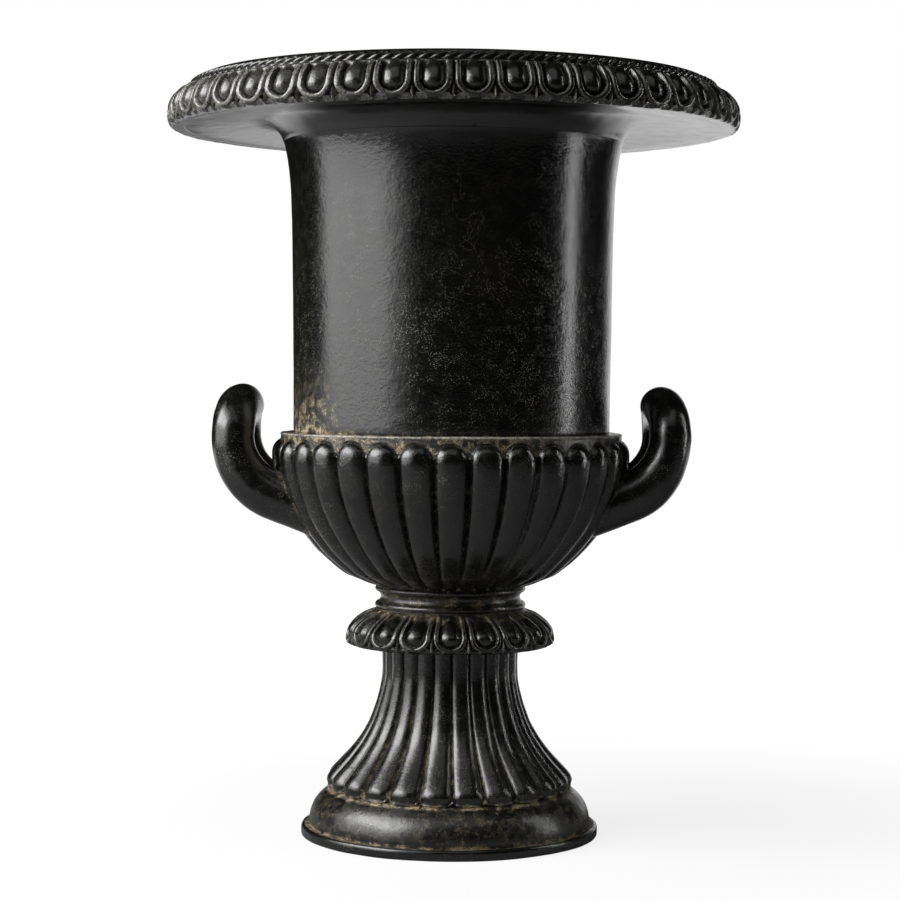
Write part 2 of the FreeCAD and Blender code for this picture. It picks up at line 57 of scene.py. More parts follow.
def top_of(node):
    """Greatest height of a node of the frame, in mm."""
    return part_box(node)[1].z / METRE


def reach_of(node):
    """Widest radius of a node of the frame, in mm."""
    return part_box(node)[1].x / METRE


# Heights of the joints, from the setting beds between the stones.
BASE_TOP = foot_of("bed_base")
STEM_FOOT = top_of("bed_base")
STEM_TOP = foot_of("bed_stem")
COLLAR_FOOT = top_of("bed_stem")
COLLAR_TOP = foot_of("bed_collar")
NECK_FOOT = top_of("bed_collar")
NECK_TOP = foot_of("bed_neck")
BOWL_FOOT = top_of("bed_neck")
LEDGE_TOP = foot_of("bed_bowl")
BARREL_FOOT = top_of("bed_bowl")
BARREL_TOP = foot_of("bed_barrel")
RIM_FOOT = top_of("bed_barrel")
RIM_TOP = top_of("rim")
FLOOR_TOP = foot_of("washer_upper")
RECESS_TOP = top_of("washer_lower")

# Radii and small sizes that the stones share.
SPIGOT_HEIGHT = top_of("barrel") - BARREL_TOP
BORE = 7.0
SPIGOT = 26.0
BASE_SPIGOT = 40.0
RECESS = 30.0
VESSEL_BORE = 91.0
RING_SPIGOT = 97.0
FIT_GAP = 0.3

# An open joint: how far a stone reaches over it, the chamfer of its edges, the width of its slope
# beside the bed, and how far the stone laps the bed.
JOINT = 0.396
CHAMFER = 0.1
SLOPE = 0.3
LAP = 4.0

REED_COUNT = 23
TONGUE_COUNT = 18
LOBE_COUNT = 32
EGG_COUNT = 48
STRANDS_PER_EGG = 3


# Paths of radius and height

def arc(start, end, rise, steps=24):
    """Points of an arc that stands off the straight line by rise, to the right of the way."""
    start, end = np.array(start, float), np.array(end, float)
    chord = end - start
    length = np.hypot(*chord)
    right = np.array([chord[1], -chord[0]]) / length
    side = math.copysign(1.0, rise)
    rise = abs(rise)
    radius = length ** 2 / (8 * rise) + rise / 2
    half = math.asin(min(1.0, length / (2 * radius)))
    angles = np.linspace(-half, half, steps + 1)
    along = radius * np.sin(angles) / length + 0.5
    off = radius * (np.cos(angles) - math.cos(half)) * side
    return [tuple(start + chord * a + right * o) for a, o in zip(along, off)]


def curve(points, steps=12):
    """Points of a smooth curve through the given ones."""
    points = np.array(points, float)
    ends = np.vstack([2 * points[0] - points[1], points, 2 * points[-1] - points[-2]])
    path = []
    for before, start, end, after in zip(ends, ends[1:], ends[2:], ends[3:]):
        for t in np.arange(steps) / steps:
            path.append(tuple(0.5 * (
                2 * start + (end - before) * t
                + (2 * before - 5 * start + 4 * end - after) * t ** 2
                + (3 * start - before - 3 * end + after) * t ** 3)))
    return path + [tuple(points[-1])]


def under(bed, face):
    """Rows under a stone from its bed out to its face, where it closes the open joint."""
    reach, height = reach_of(bed), top_of(bed)
    low = height - JOINT
    return [
        (reach - LAP, height),
        (reach + CHAMFER, height),
        (reach + SLOPE, low),
        (face - CHAMFER, low),
        (face, low + CHAMFER),
    ]


def over(bed, face):
    """Rows over a stone from its face in to its bed."""
    reach, height = reach_of(bed), foot_of(bed)
    high = height + JOINT
    return [
        (face, high - CHAMFER),
        (face - CHAMFER, high),
        (reach + SLOPE, high),
        (reach + CHAMFER, height),
        (reach - LAP, height),
    ]


def section(points, step, soft=0.45, bend=0.4):
    """Rows along a path, with its arrises softened, closer together where it bends.

    The step between rows is a length in mm, or a function that gives it for each height.
    """
    points = np.array(points, float)
    gaps = np.hypot(*np.diff(points, axis=0).T)
    kept = np.concatenate([[True], gaps > 1e-6])
    points, gaps = points[kept], gaps[gaps > 1e-6]
    along = np.concatenate([[0], np.cumsum(gaps)])
    grain = 0.1
    fine = np.linspace(0, along[-1], max(8, int(along[-1] / grain)))
    dense = np.stack([np.interp(fine, along, points[:, k]) for k in (0, 1)], 1)
    spread = max(1, round(soft / grain))
    pad = 3 * spread
    weights = np.exp(-0.5 * (np.arange(-pad, pad + 1) / spread) ** 2)
    weights /= weights.sum()
    head = 2 * dense[0] - dense[pad:0:-1]
    tail = 2 * dense[-1] - dense[-2:-pad - 2:-1]
    padded = np.vstack([head, dense, tail])
    dense = np.stack([np.convolve(padded[:, k], weights, "valid") for k in (0, 1)], 1)
    way = np.diff(dense, axis=0)
    heading = np.unwrap(np.arctan2(way[:, 1], way[:, 0]))
    turn = np.concatenate([[0], np.abs(np.diff(heading))])
    local_step = step(dense[1:, 1]) if callable(step) else step
    measure = np.concatenate([[0], np.cumsum(np.hypot(*way.T) / local_step + turn / bend)])
    count = max(2, int(round(measure[-1])) + 1)
    picks = np.linspace(0, measure[-1], count)
    return np.stack([np.interp(picks, measure, dense[:, k]) for k in (0, 1)], 1)


def joint_to_joint(lower, start, points, end, upper, step, soft=0.45, bend=0.4):
    """Rows of a stone's face from one joint to the next, between the rows that close them."""
    low, high = top_of(lower) - JOINT + CHAMFER, foot_of(upper) + JOINT - CHAMFER
    face = section([(start, low), *points, (end, high)], step, soft, bend)
    return np.vstack([under(lower, start)[:-1], face, over(upper, end)[1:]])


def drilled(lower, upper, step, socket=SPIGOT + FIT_GAP):
    """Rows inside a small stone: its spigot, the bore for the rod, and its socket."""
    foot, top = top_of(lower), foot_of(upper)
    return section([
        (reach_of(upper) - 6, top),
        (SPIGOT, top),
        (SPIGOT, top + SPIGOT_HEIGHT),
        (BORE, top + SPIGOT_HEIGHT),
        (BORE, foot + SPIGOT_HEIGHT),
        (socket, foot + SPIGOT_HEIGHT),
        (socket, foot),
        (reach_of(lower) - 6, foot),
    ], step)


def run_along(rows):
    """Distance of each row from the first, along the path."""
    return np.concatenate([[0], np.cumsum(np.hypot(*np.diff(rows, axis=0).T))])


def outward(rows):
    """Unit vectors square to a path of rows, to the right of the way."""
    way = np.gradient(rows, axis=0)
    way /= np.hypot(*way.T)[:, None]
    return np.stack([way[:, 1], -way[:, 0]], 1)


def between(value, low, high):
    """0 below low, 1 above high, and even between."""
    return np.clip((value - low) / (high - low), 0, 1)


def ease(value, low, high):
    """0 below low, 1 above high, and a smooth step between."""
    share = between(value, low, high)
    return share * share * (3 - 2 * share)


def peak(value, middle, width):
    """1 at the middle, and nearly 0 at twice the width from it."""
    return np.exp(-((value - middle) / width) ** 2)


def towards(theta, turn):
    """1 where a column faces that part of a half turn round the object, and -1 on the far side."""
    return np.cos(theta - math.pi * turn)


# The surface of a stone: noise, rings of points, and what its material needs at each point

class Waves:
    """Seeded smooth noise: a sum of plane waves of about the given length in mm."""

    def __init__(self, length, count=18):
        ways = random.normal(size=(count, 3))
        ways /= np.linalg.norm(ways, axis=1)[:, None]
        lengths = length * random.uniform(0.6, 1.7, count)
        self.ways = ways * (FULL_TURN / lengths)[:, None]
        self.phases = random.uniform(0, FULL_TURN, count)
        self.scale = math.sqrt(2 / count)

    def __call__(self, points):
        total = np.zeros(points.shape[:-1])
        for way, phase in zip(self.ways, self.phases):
            total += np.sin(points @ way + phase)
        return total * self.scale


SWAY = Waves(70)
DENTS = Waves(16)
SWAY_DEPTH = 0.10
DENT_DEPTH = 0.04
# Distance from the ends of a band, in mm, over which its uneven surface starts.
EVEN_EDGE = (5, 9)
# Hollows and arrises are found by comparing a point with its neighbours at these distances. The
# pairs say how far it lies below them where dust starts and is full, and above them for wear.
HOLLOW_REACH = 1.6
ARRIS_REACH = 0.9
DUSTY = (0.06, 0.48)
WORN = (0.28, 0.58)


class Band:
    """Rings of one turned surface: its rows, its columns and the relief cut into it.

    Relief, dust, rubbed arrises with painted highlights, and hammered faces are functions of the
    columns' angles and of the rows, or one value for all. Flaws scales how uneven the surface is,
    silt how much dust its hollows hold, and fray how much its arrises are rubbed. Relief stands
    along ways, which are square to the rows if not given. A band with a sweep, a first angle and
    how far it turns, is a sector of a ring.
    """

    def __init__(self, rows, columns, relief=0.0, dust=0.0, wear_and_highlight=0.0, hammered=0.0, flaws=1.0,
                 silt=0.5, fray=1.0, ways=None, sweep=None):
        self.rows = rows
        self.ways = outward(rows) if ways is None else ways
        self.closed = sweep is None
        self.columns = columns
        first, turn = sweep or (0.0, FULL_TURN)
        theta = first + np.arange(columns + (not self.closed)) / columns * turn
        self.pitch = turn * np.mean(np.abs(rows[:, 0])) / columns
        flat = np.zeros((len(rows), len(theta)))

        def everywhere(source):
            return flat + (source(theta, rows) if callable(source) else source)

        heights = everywhere(relief)
        points = self.placed(theta, heights)
        along = run_along(rows)
        even_edges = ease(along, *EVEN_EDGE) * ease(along[-1] - along, *EVEN_EDGE)
        uneven = (SWAY_DEPTH * SWAY(points) + DENT_DEPTH * DENTS(points)) * even_edges[:, None]
        self.points = self.placed(theta, heights + flaws * uneven)
        self.points[..., 2] = np.clip(self.points[..., 2], 0, RIM_TOP)
        hollow = smoothed(self.bends(HOLLOW_REACH), 2)
        sharp = -self.bends(ARRIS_REACH)
        self.dust = np.clip(everywhere(dust) + silt * between(hollow, *DUSTY), 0, 1)
        self.wear_and_highlight = np.clip(everywhere(wear_and_highlight) + fray * between(sharp, *WORN), 0, 1)
        self.hammered = everywhere(hammered)

    def placed(self, theta, heights):
        radius = self.rows[:, :1] + self.ways[:, :1] * heights
        height = self.rows[:, 1:] + self.ways[:, 1:] * heights
        return np.stack([radius * np.cos(theta), radius * np.sin(theta), height], -1)

    def bends(self, reach):
        """How far each point lies below its neighbours at about that reach, in mm."""
        points = self.points
        along = run_along(self.rows)
        side = max(1, int(round(reach / self.pitch)))
        rows_apart = max(1, int(round(reach * len(along) / max(along[-1], reach))))
        count = len(points)
        index = np.arange(count)
        above = points[np.minimum(index + rows_apart, count - 1)]
        below = points[np.maximum(index - rows_apart, 0)]
        right = np.roll(points, -side, 1)
        left = np.roll(points, side, 1)
        normal = np.cross(right - left, above - below)
        normal /= np.linalg.norm(normal, axis=-1)[..., None] + 1e-9
        across = (left + right) / 2 - points
        upright = (above + below) / 2 - points
        upright[:rows_apart] = 0
        upright[count - rows_apart:] = 0
        if not self.closed:
            across[:, :side] = across[:, side:side + 1]
            across[:, -side:] = across[:, -side - 1:-side]
        return np.sum((across + upright) * normal, -1)


def smoothed(values, times):
    """Values of a band's points, evened out with their neighbours some times."""
    for _ in range(times):
        values = (values + np.roll(values, 1, 1) + np.roll(values, -1, 1)) / 3
        inner = (values[:-2] + values[1:-1] + values[2:]) / 3
        values = np.concatenate([values[:1], inner, values[-1:]])
    return values


def turned_stone(name, bands, *nodes):
    """Closed mesh from bands of rings, whose counts of columns may differ by whole factors."""
    points, dust, wear_and_highlight, hammered, rings = [], [], [], [], []
    start = 0
    for band in bands:
        points.append(band.points.reshape(-1, 3))
        dust.append(band.dust.ravel())
        wear_and_highlight.append(band.wear_and_highlight.ravel())
        hammered.append(band.hammered.ravel())
        for ring in band.points:
            rings.append((start, band.columns))
            start += len(ring)
    closed = bands[0].closed
    loops, totals = [], []
    for (first, count), (second, other) in zip(rings, rings[1:] + rings[:1]):
        fewer = min(count, other)
        low, high = count // fewer, other // fewer
        corner = np.arange(fewer)
        below = [corner * low + k for k in range(low + 1)]
        above = [corner * high + k for k in range(high, -1, -1)]
        if closed:
            below = [place % count for place in below]
            above = [place % other for place in above]
        face = np.stack([first + place for place in below] + [second + place for place in above], 1)
        loops.append(face.ravel())
        totals.append(np.full(fewer, face.shape[1]))
    if not closed:
        near_end = [first for first, count in rings]
        far_end = [first + count for first, count in reversed(rings)]
        loops.append(np.array(near_end + far_end))
        totals.append(np.array([len(rings), len(rings)]))
    mesh = mesh_from(name, np.concatenate(points), np.concatenate(loops), np.concatenate(totals))
    if not closed:
        flat = np.array([face.loop_total == len(rings) for face in mesh.polygons])
        mesh.polygons.foreach_set("use_smooth", ~flat)
    add_shade(mesh, np.concatenate(dust), np.concatenate(wear_and_highlight), np.concatenate(hammered))
    return dressed(name, mesh, *nodes)


def mesh_from(name, points, loops, totals):
    """Smooth mesh with sharp arrises, from points in mm, the corners of its faces and their counts."""
    mesh = bpy.data.meshes.new(name)
    mesh.vertices.add(len(points))
    mesh.vertices.foreach_set("co", (points * METRE).astype(np.float32).ravel())
    mesh.loops.add(len(loops))
    mesh.loops.foreach_set("vertex_index", loops.astype(np.int32))
    mesh.polygons.add(len(totals))
    starts = np.concatenate([[0], np.cumsum(totals)[:-1]])
    mesh.polygons.foreach_set("loop_start", starts.astype(np.int32))
    mesh.update(calc_edges=True)
    mesh.validate()
    mesh.shade_smooth()
    mesh.set_sharp_from_angle(angle=math.radians(60))
    return mesh


def add_shade(mesh, dust, wear_and_highlight, hammered):
    """Store where dust lies, where arrises are rubbed and highlights are painted, and where faces are
    uneven, for the stone's material.
    """
    for label, values in (("dust", dust), ("wear_and_highlight", wear_and_highlight), ("hammered", hammered)):
        attribute = mesh.attributes.new(label, "FLOAT", "POINT")
        attribute.data.foreach_set("value", values.astype(np.float32))


def dressed(name, mesh, *nodes):
    """The stone piece with this mesh, in the place of nodes of the frame."""
    piece = bpy.data.objects.new(name, mesh)
    bpy.context.scene.collection.objects.link(piece)
    mesh.materials.append(stone)
    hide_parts(*nodes)
    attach(piece, "root")
    return piece


# Materials

# How long and how far marks in the stone bend, in mm, and how much wider than a mark its cell is.
MARK_BEND_LENGTH = 22
MARK_BEND = 9.0
MARK_SPACE = 1.8


class Nodes:
    """Short calls for the nodes of one material or world."""

    def __init__(self, tree):
        self.tree = tree
        tree.nodes.clear()

    def make(self, kind, inputs, **settings):
        """New node of a kind, with its settings and its inputs' links, numbers or colours."""
        made = self.tree.nodes.new("ShaderNode" + kind)
        for name, setting in settings.items():
            setattr(made, name, setting)
        for label, value in inputs.items():
            self.put(value, made.inputs[label])
        return made

    def put(self, value, socket):
        if isinstance(value, bpy.types.NodeSocket):
            self.tree.links.new(value, socket)
        elif hasattr(socket.default_value, "__len__") and not hasattr(value, "__len__"):
            socket.default_value = [value] * len(socket.default_value)
        elif hasattr(value, "__len__") and len(value) == 3 and len(socket.default_value) == 4:
            socket.default_value = (*value, 1)
        else:
            socket.default_value = value

    def math(self, operation, *values):
        return self.make("Math", dict(enumerate(values)), operation=operation).outputs[0]

    def times(self, first, second):
        return self.math("MULTIPLY", first, second)

    def weighted(self, start, *parts):
        """Start plus each part times its weight."""
        total = start
        for part, weight in parts:
            total = self.math("MULTIPLY_ADD", part, weight, total)
        return total

    def ramp(self, value, low, high, start=0.0, end=1.0):
        """Smooth step of a value from low to high, given as start to end."""
        limits = {"From Min": low, "From Max": high, "To Min": start, "To Max": end}
        made = self.make("MapRange", {"Value": value, **limits}, interpolation_type="SMOOTHSTEP")
        return made.outputs["Result"]

    def mix(self, share, first, second):
        made = self.make("Mix", {"Factor": share, "A": first, "B": second}, data_type="RGBA")
        return made.outputs["Result"]

    def scaled(self, source, scale):
        return self.make("VectorMath", {0: source, "Scale": scale}, operation="SCALE").outputs[0]


class Shader(Nodes):
    """Nodes of a material with one Principled surface, with sizes in mm on the object."""

    def __init__(self, name):
        self.material = bpy.data.materials.new(name)
        self.material.use_nodes = True
        super().__init__(self.material.node_tree)
        self.surface = self.make("BsdfPrincipled", {})
        self.make("OutputMaterial", {"Surface": self.surface.outputs["BSDF"]})
        self.place = self.scaled(self.make("TexCoord", {}).outputs["Object"], 1 / METRE)

    def complete(self, colour, roughness, bumps, depth):
        """The material with this colour, this roughness, and bumps of that depth in mm."""
        bump = self.make("Bump", {"Distance": depth * METRE, "Height": bumps})
        self.put(colour, self.surface.inputs["Base Color"])
        self.put(roughness, self.surface.inputs["Roughness"])
        self.put(bump.outputs["Normal"], self.surface.inputs["Normal"])
        return self.material

    def noise(self, size, detail=3.0, rough=0.55, twist=0.0):
        """Noise whose grains are about that many mm across."""
        inputs = {"Scale": 1 / size, "Detail": detail, "Roughness": rough, "Distortion": twist}
        return self.make("TexNoise", {"Vector": self.place, **inputs}).outputs["Fac"]

    def marks(self, width, length, turn, share):
        """Short marks of that width and length in mm, curved a little, in some of the cells."""
        bend = self.make("TexNoise", {"Vector": self.place, "Scale": 1 / MARK_BEND_LENGTH})
        shift = self.scaled(bend.outputs["Color"], MARK_BEND)
        shifted = self.make("VectorMath", {0: self.place, 1: shift}, operation="ADD").outputs[0]
        cell = (width * MARK_SPACE, width * MARK_SPACE, length * MARK_SPACE)
        mapping = self.make("Mapping", {0: shifted, "Rotation": turn, "Scale": cell}, vector_type="TEXTURE")
        cells = self.make("TexVoronoi", {"Vector": mapping.outputs["Vector"], "Scale": 1.0})
        chance = self.make("SeparateColor", {0: cells.outputs["Color"]}).outputs[0]
        chosen = self.ramp(chance, 1 - share, 1 - share * 0.8)
        return self.times(self.ramp(cells.outputs["Distance"], 0.12, 0.30, 1, 0), chosen)

    def stored(self, label):
        """What the mesh stores at its points under that name."""
        return self.make("Attribute", {}, attribute_name=label).outputs["Fac"]

    def laid(self, ground, share, density, colour):
        """A ground with a colour laid over it, where share says, at most that dense."""
        return self.mix(self.times(share, density), ground, colour)


DEEP_BLACK = (0.0028, 0.0032, 0.0028)
GREEN_BLACK = (0.0075, 0.0078, 0.0062)
OLIVE_CLOUD = (0.016, 0.0155, 0.0105)
FLECK = (0.135, 0.127, 0.080)
VEIN = (0.17, 0.14, 0.08)
BROWN_DUST = (0.130, 0.096, 0.052)
OCHRE_SPECK = (0.50, 0.41, 0.25)
WEAR_AND_HIGHLIGHT_GREY = (0.48, 0.465, 0.42)
STONE_IOR = 1.68


def stone_material():
    """Dark polished stone: black-green ground, pale flecks, fine veins, ochre dust, rubbed arrises, and
    painted highlights on the rim's eggs and the bowl's ledge where they face the softbox.
    """
    shader = Shader("stone_dark")
    cloud = shader.noise(55, 3)
    mottle = shader.noise(9, 6, 0.62)
    grain = shader.noise(1.5, 4, 0.6)
    ground = shader.mix(shader.ramp(mottle, 0.40, 0.66), DEEP_BLACK, GREEN_BLACK)
    ground = shader.laid(ground, shader.ramp(cloud, 0.50, 0.72), 0.4, OLIVE_CLOUD)

    # Flecks: dots and two ways of short strokes, in patches that thin out towards the rim.
    patches = shader.times(shader.ramp(cloud, 0.40, 0.62, 0.40, 1), shader.ramp(mottle, 0.38, 0.60))
    height = shader.make("SeparateXYZ", {0: shader.place}).outputs["Z"]
    patches = shader.times(patches, shader.ramp(height, 300, 430, 1, 0.25))
    dots = shader.marks(0.45, 0.6, (0.4, 0.2, 0), 0.35)
    upright = shader.marks(0.40, 2.2, (0.5, 0.3, 0), 0.38)
    slanting = shader.marks(0.36, 1.8, (1.2, 0.9, 0.4), 0.38)
    marks = shader.math("MAXIMUM", dots, shader.math("MAXIMUM", upright, slanting))
    flecks = shader.times(marks, patches)
    ground = shader.laid(ground, flecks, 0.8, FLECK)

    # Veins: thin lines where a wide noise passes its middle, broken up.
    from_vein = shader.math("ABSOLUTE", shader.math("SUBTRACT", shader.noise(90, 5, 0.55, twist=0.35), 0.52))
    broken = shader.ramp(shader.noise(30, 2), 0.5, 0.62)
    veins = shader.times(shader.ramp(from_vein, 0.0, 0.0011, 1, 0), broken)
    ground = shader.laid(ground, veins, 0.35, VEIN)

    # Dust: a patchy brown film, with ochre specks where it lies thick.
    film = shader.stored("dust")
    drift = shader.times(film, shader.ramp(shader.noise(5.5, 5, 0.65), 0.32, 0.68))
    dust = shader.ramp(drift, 0.12, 0.85)
    ground = shader.laid(ground, dust, 0.85, BROWN_DUST)
    speck_noise = shader.weighted(shader.noise(0.75, 2, 0.5), (drift, 0.24))
    specks = shader.times(shader.ramp(speck_noise, 0.60, 0.76), shader.ramp(drift, 0.14, 0.50))
    ground = shader.laid(ground, specks, 0.85, OCHRE_SPECK)

    # Pale grey where arrises are rubbed, and also as a painted highlight on the rim's eggs and the bowl's
    # ledge where they face the softbox.
    wear_and_highlight_share = shader.times(shader.stored("wear_and_highlight"), shader.ramp(grain, 0.30, 0.60))
    ground = shader.laid(ground, wear_and_highlight_share, 0.85, WEAR_AND_HIGHLIGHT_GREY)
    polish = shader.ramp(mottle, 0.3, 0.7, 0.12, 0.19)
    roughness = shader.weighted(polish, (film, 0.30), (dust, 0.20), (wear_and_highlight_share, 0.10), (flecks, 0.30))
    pits = shader.ramp(shader.noise(0.95, 3, 0.6), 0.30, 0.42)
    uneven = shader.weighted(shader.noise(4.0, 2), (shader.noise(1.8, 3), 0.6))
    hollows = shader.times(shader.stored("hammered"), uneven)
    bumps = shader.weighted(0.0, (pits, 0.5), (mottle, 0.4), (grain, 1.7), (flecks, -1.8), (hollows, 4.0))
    shader.surface.inputs["IOR"].default_value = STONE_IOR
    return shader.complete(ground, roughness, bumps, 0.055)


def bedding_material():
    """Lime mortar, dusty ochre brown."""
    shader = Shader("bedding_lime")
    tone = shader.mix(shader.noise(3, 5), (0.030, 0.021, 0.012), (0.13, 0.088, 0.045))
    roughness = shader.ramp(shader.noise(2, 3), 0.3, 0.7, 0.75, 0.95)
    return shader.complete(tone, roughness, shader.noise(0.7, 4), 0.15)


def steel_material():
    """Plain steel with a dull surface and spots of rust."""
    shader = Shader("steel_dull")
    rust = shader.ramp(shader.noise(6, 5, 0.65), 0.55, 0.72)
    tone = shader.mix(shader.noise(1.4, 3), (0.30, 0.30, 0.30), (0.44, 0.44, 0.43))
    tone = shader.laid(tone, rust, 0.7, (0.13, 0.055, 0.024))
    roughness = shader.ramp(shader.noise(2.2, 4), 0.3, 0.7, 0.30, 0.52)
    shader.put(shader.math("SUBTRACT", 1.0, rust), shader.surface.inputs["Metallic"])
    return shader.complete(tone, roughness, shader.noise(0.9, 4), 0.03)


def paint_nodes(material, *labels):
    """Give nodes of the frame a material of their own."""
    for label in labels:
        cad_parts[label].data.materials.clear()
        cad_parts[label].data.materials.append(material)


stone = stone_material()
paint_nodes(bedding_material(), "bed_base", "bed_stem", "bed_collar", "bed_neck", "bed_bowl", "bed_barrel")
paint_nodes(steel_material(), "tie_rod", "washer_lower", "nut_lower", "washer_upper", "nut_upper",
            "handle_dowels")


# Base: a disc and a torus

PLINTH_RADIUS = reach_of("base_plinth")
PLINTH_EDGE = 6.8
TORUS_FOOT = PLINTH_RADIUS - 5.3
TORUS_TOP = TORUS_FOOT - 14.9
TORUS_BULGE = 3.5


def base_plinth():
    edge = TORUS_TOP - 0.6
    face = section([
        (RECESS + 20, 0.0),
        (PLINTH_RADIUS - 0.2, 0.0),
        (PLINTH_RADIUS, 1.0),
        (PLINTH_RADIUS, PLINTH_EDGE - 1.9),
        (PLINTH_RADIUS - 0.5, PLINTH_EDGE - 0.6),
        (PLINTH_RADIUS - 1.6, PLINTH_EDGE),
        (TORUS_FOOT - 0.6, PLINTH_EDGE - 0.4),
        *arc((TORUS_FOOT - 0.2, PLINTH_EDGE + 0.4), (TORUS_TOP + 3.5, BASE_TOP - 2.0), TORUS_BULGE),
        (TORUS_TOP + 1, BASE_TOP - 0.3),
        (edge, BASE_TOP + JOINT - CHAMFER),
    ], 1.0)
    outer = np.vstack([face, over("bed_base", edge)])
    inner = section([
        (reach_of("bed_base") - 6, BASE_TOP),
        (BASE_SPIGOT, BASE_TOP),
        (BASE_SPIGOT, BASE_TOP + SPIGOT_HEIGHT),
        (BORE, BASE_TOP + SPIGOT_HEIGHT),
        (BORE, RECESS_TOP),
        (RECESS, RECESS_TOP),
        (RECESS, 0.0),
        (RECESS + 18, 0.0),
    ], 5)

    def dust(theta, rows):
        radius, height = rows[:, :1], rows[:, 1:]
        in_groove = peak(height, PLINTH_EDGE + 0.2, 1.1) * (radius < PLINTH_RADIUS - 2.5)
        at_reeds = ease(height, BASE_TOP - 2.4, BASE_TOP - 0.8)
        film = 0.24 * ease(height, PLINTH_EDGE, PLINTH_EDGE + 3) + 0.12
        return 0.85 * in_groove + 0.8 * at_reeds + film

    bands = [Band(outer, 480, dust=dust, hammered=0.7), Band(inner, 160)]
    turned_stone("base_plinth_stone", bands, "base_plinth")


# Stem: reeds between sharp grooves

STEM_WAIST = 45.5
STEM_REACH = 82.3
REED_DIP = 1.7
REED_TURN = math.radians(-90 + 1.5) + math.pi / REED_COUNT
# How far across a reed its round crest goes, as a share of the circle that it is cut from.
REED_ROUND = 0.93
# Shares of the stem's height, with how far its outline has come from its waist out to its reach.
reed_outline_shares = [
    (0.0, 0.93), (0.018, 0.975), (0.05, 0.995), (0.09, 0.955), (0.15, 0.815), (0.205, 0.68),
    (0.265, 0.545), (0.32, 0.435), (0.37, 0.35), (0.43, 0.263), (0.485, 0.198), (0.59, 0.105),
    (0.70, 0.036), (0.81, 0.003), (1.0, 0.01),
]
# Shares of the stem's height, with the depth of its grooves in mm.
reed_depths = [(0, 3.4), (0.03, 4.6), (0.1, 4.8), (0.3, 3.5), (0.55, 2.8), (1.0, 2.5)]


def reeded_stem():
    height = STEM_TOP - STEM_FOOT
    reach = STEM_REACH - STEM_WAIST
    crest = [(STEM_WAIST + reach * r, STEM_FOOT + height * z) for z, r in reed_outline_shares]
    outer = joint_to_joint("bed_base", reach_of("bed_base") + 0.8, [
        (STEM_REACH - 3.6, STEM_FOOT - REED_DIP * 0.6),
        (STEM_REACH - 1.9, STEM_FOOT - REED_DIP),
        (STEM_REACH - 0.7, STEM_FOOT - REED_DIP * 0.3),
        *curve(crest[1:]),
    ], STEM_WAIST, "bed_stem", 1.1)
    inner = drilled("bed_base", "bed_stem", 6, BASE_SPIGOT + FIT_GAP)
    widths = random.normal(0, 0.035, REED_COUNT)
    levels = random.normal(0, 0.18, REED_COUNT)

    def reeds(theta):
        """Which reed each column belongs to, and 0 on its crest to 1 in the groove beside it."""
        turns = (theta - REED_TURN) / FULL_TURN * REED_COUNT
        reed = np.round(turns).astype(int) % REED_COUNT
        across = np.abs((turns - np.round(turns)) * 2)
        return reed, np.clip(across * (1 + widths[reed] * (1 - across)), 0, 1)

    def relief(theta, rows):
        reed, across = reeds(theta)
        share = np.clip((rows[:, 1:] - STEM_FOOT) / height, 0, 1)
        depth = np.interp(share, *zip(*reed_depths))
        round_off = 1 - np.sqrt(1 - (REED_ROUND * across) ** 2)
        round_off /= 1 - math.sqrt(1 - REED_ROUND ** 2)
        cut = 0.45 * peak(across, 1, 0.10)
        outside = rows[:, :1] > reach_of("bed_stem") + 0.9
        low = 1 - ease(rows[:, 1:], STEM_FOOT - REED_DIP, STEM_FOOT + 2)
        return (levels[reed] * (1 - low) - depth * round_off - cut) * outside

    def dust(theta, rows):
        reed, across = reeds(theta)
        share = (rows[:, 1:] - STEM_FOOT) / height
        grooves = 0.45 * ease(across, 0.80, 1.0) * (1 - ease(share, 0.25, 0.6))
        return 0.22 + 0.7 * (1 - ease(share, -0.01, 0.02)) + grooves + 0.2 * ease(share, 0.93, 1)

    def hammered(theta, rows):
        share = (rows[:, 1:] - STEM_FOOT) / height
        return 0.5 + 0.5 * (1 - ease(share, 0.05, 0.4))

    turned_stone("reeded_stem_stone", [
        Band(outer, REED_COUNT * 26, relief, dust, hammered=hammered, silt=0.15, fray=0.4),
        Band(inner, REED_COUNT * 13)], "reeded_stem")


# Eggs in frames with darts between them, on the collar and the rim

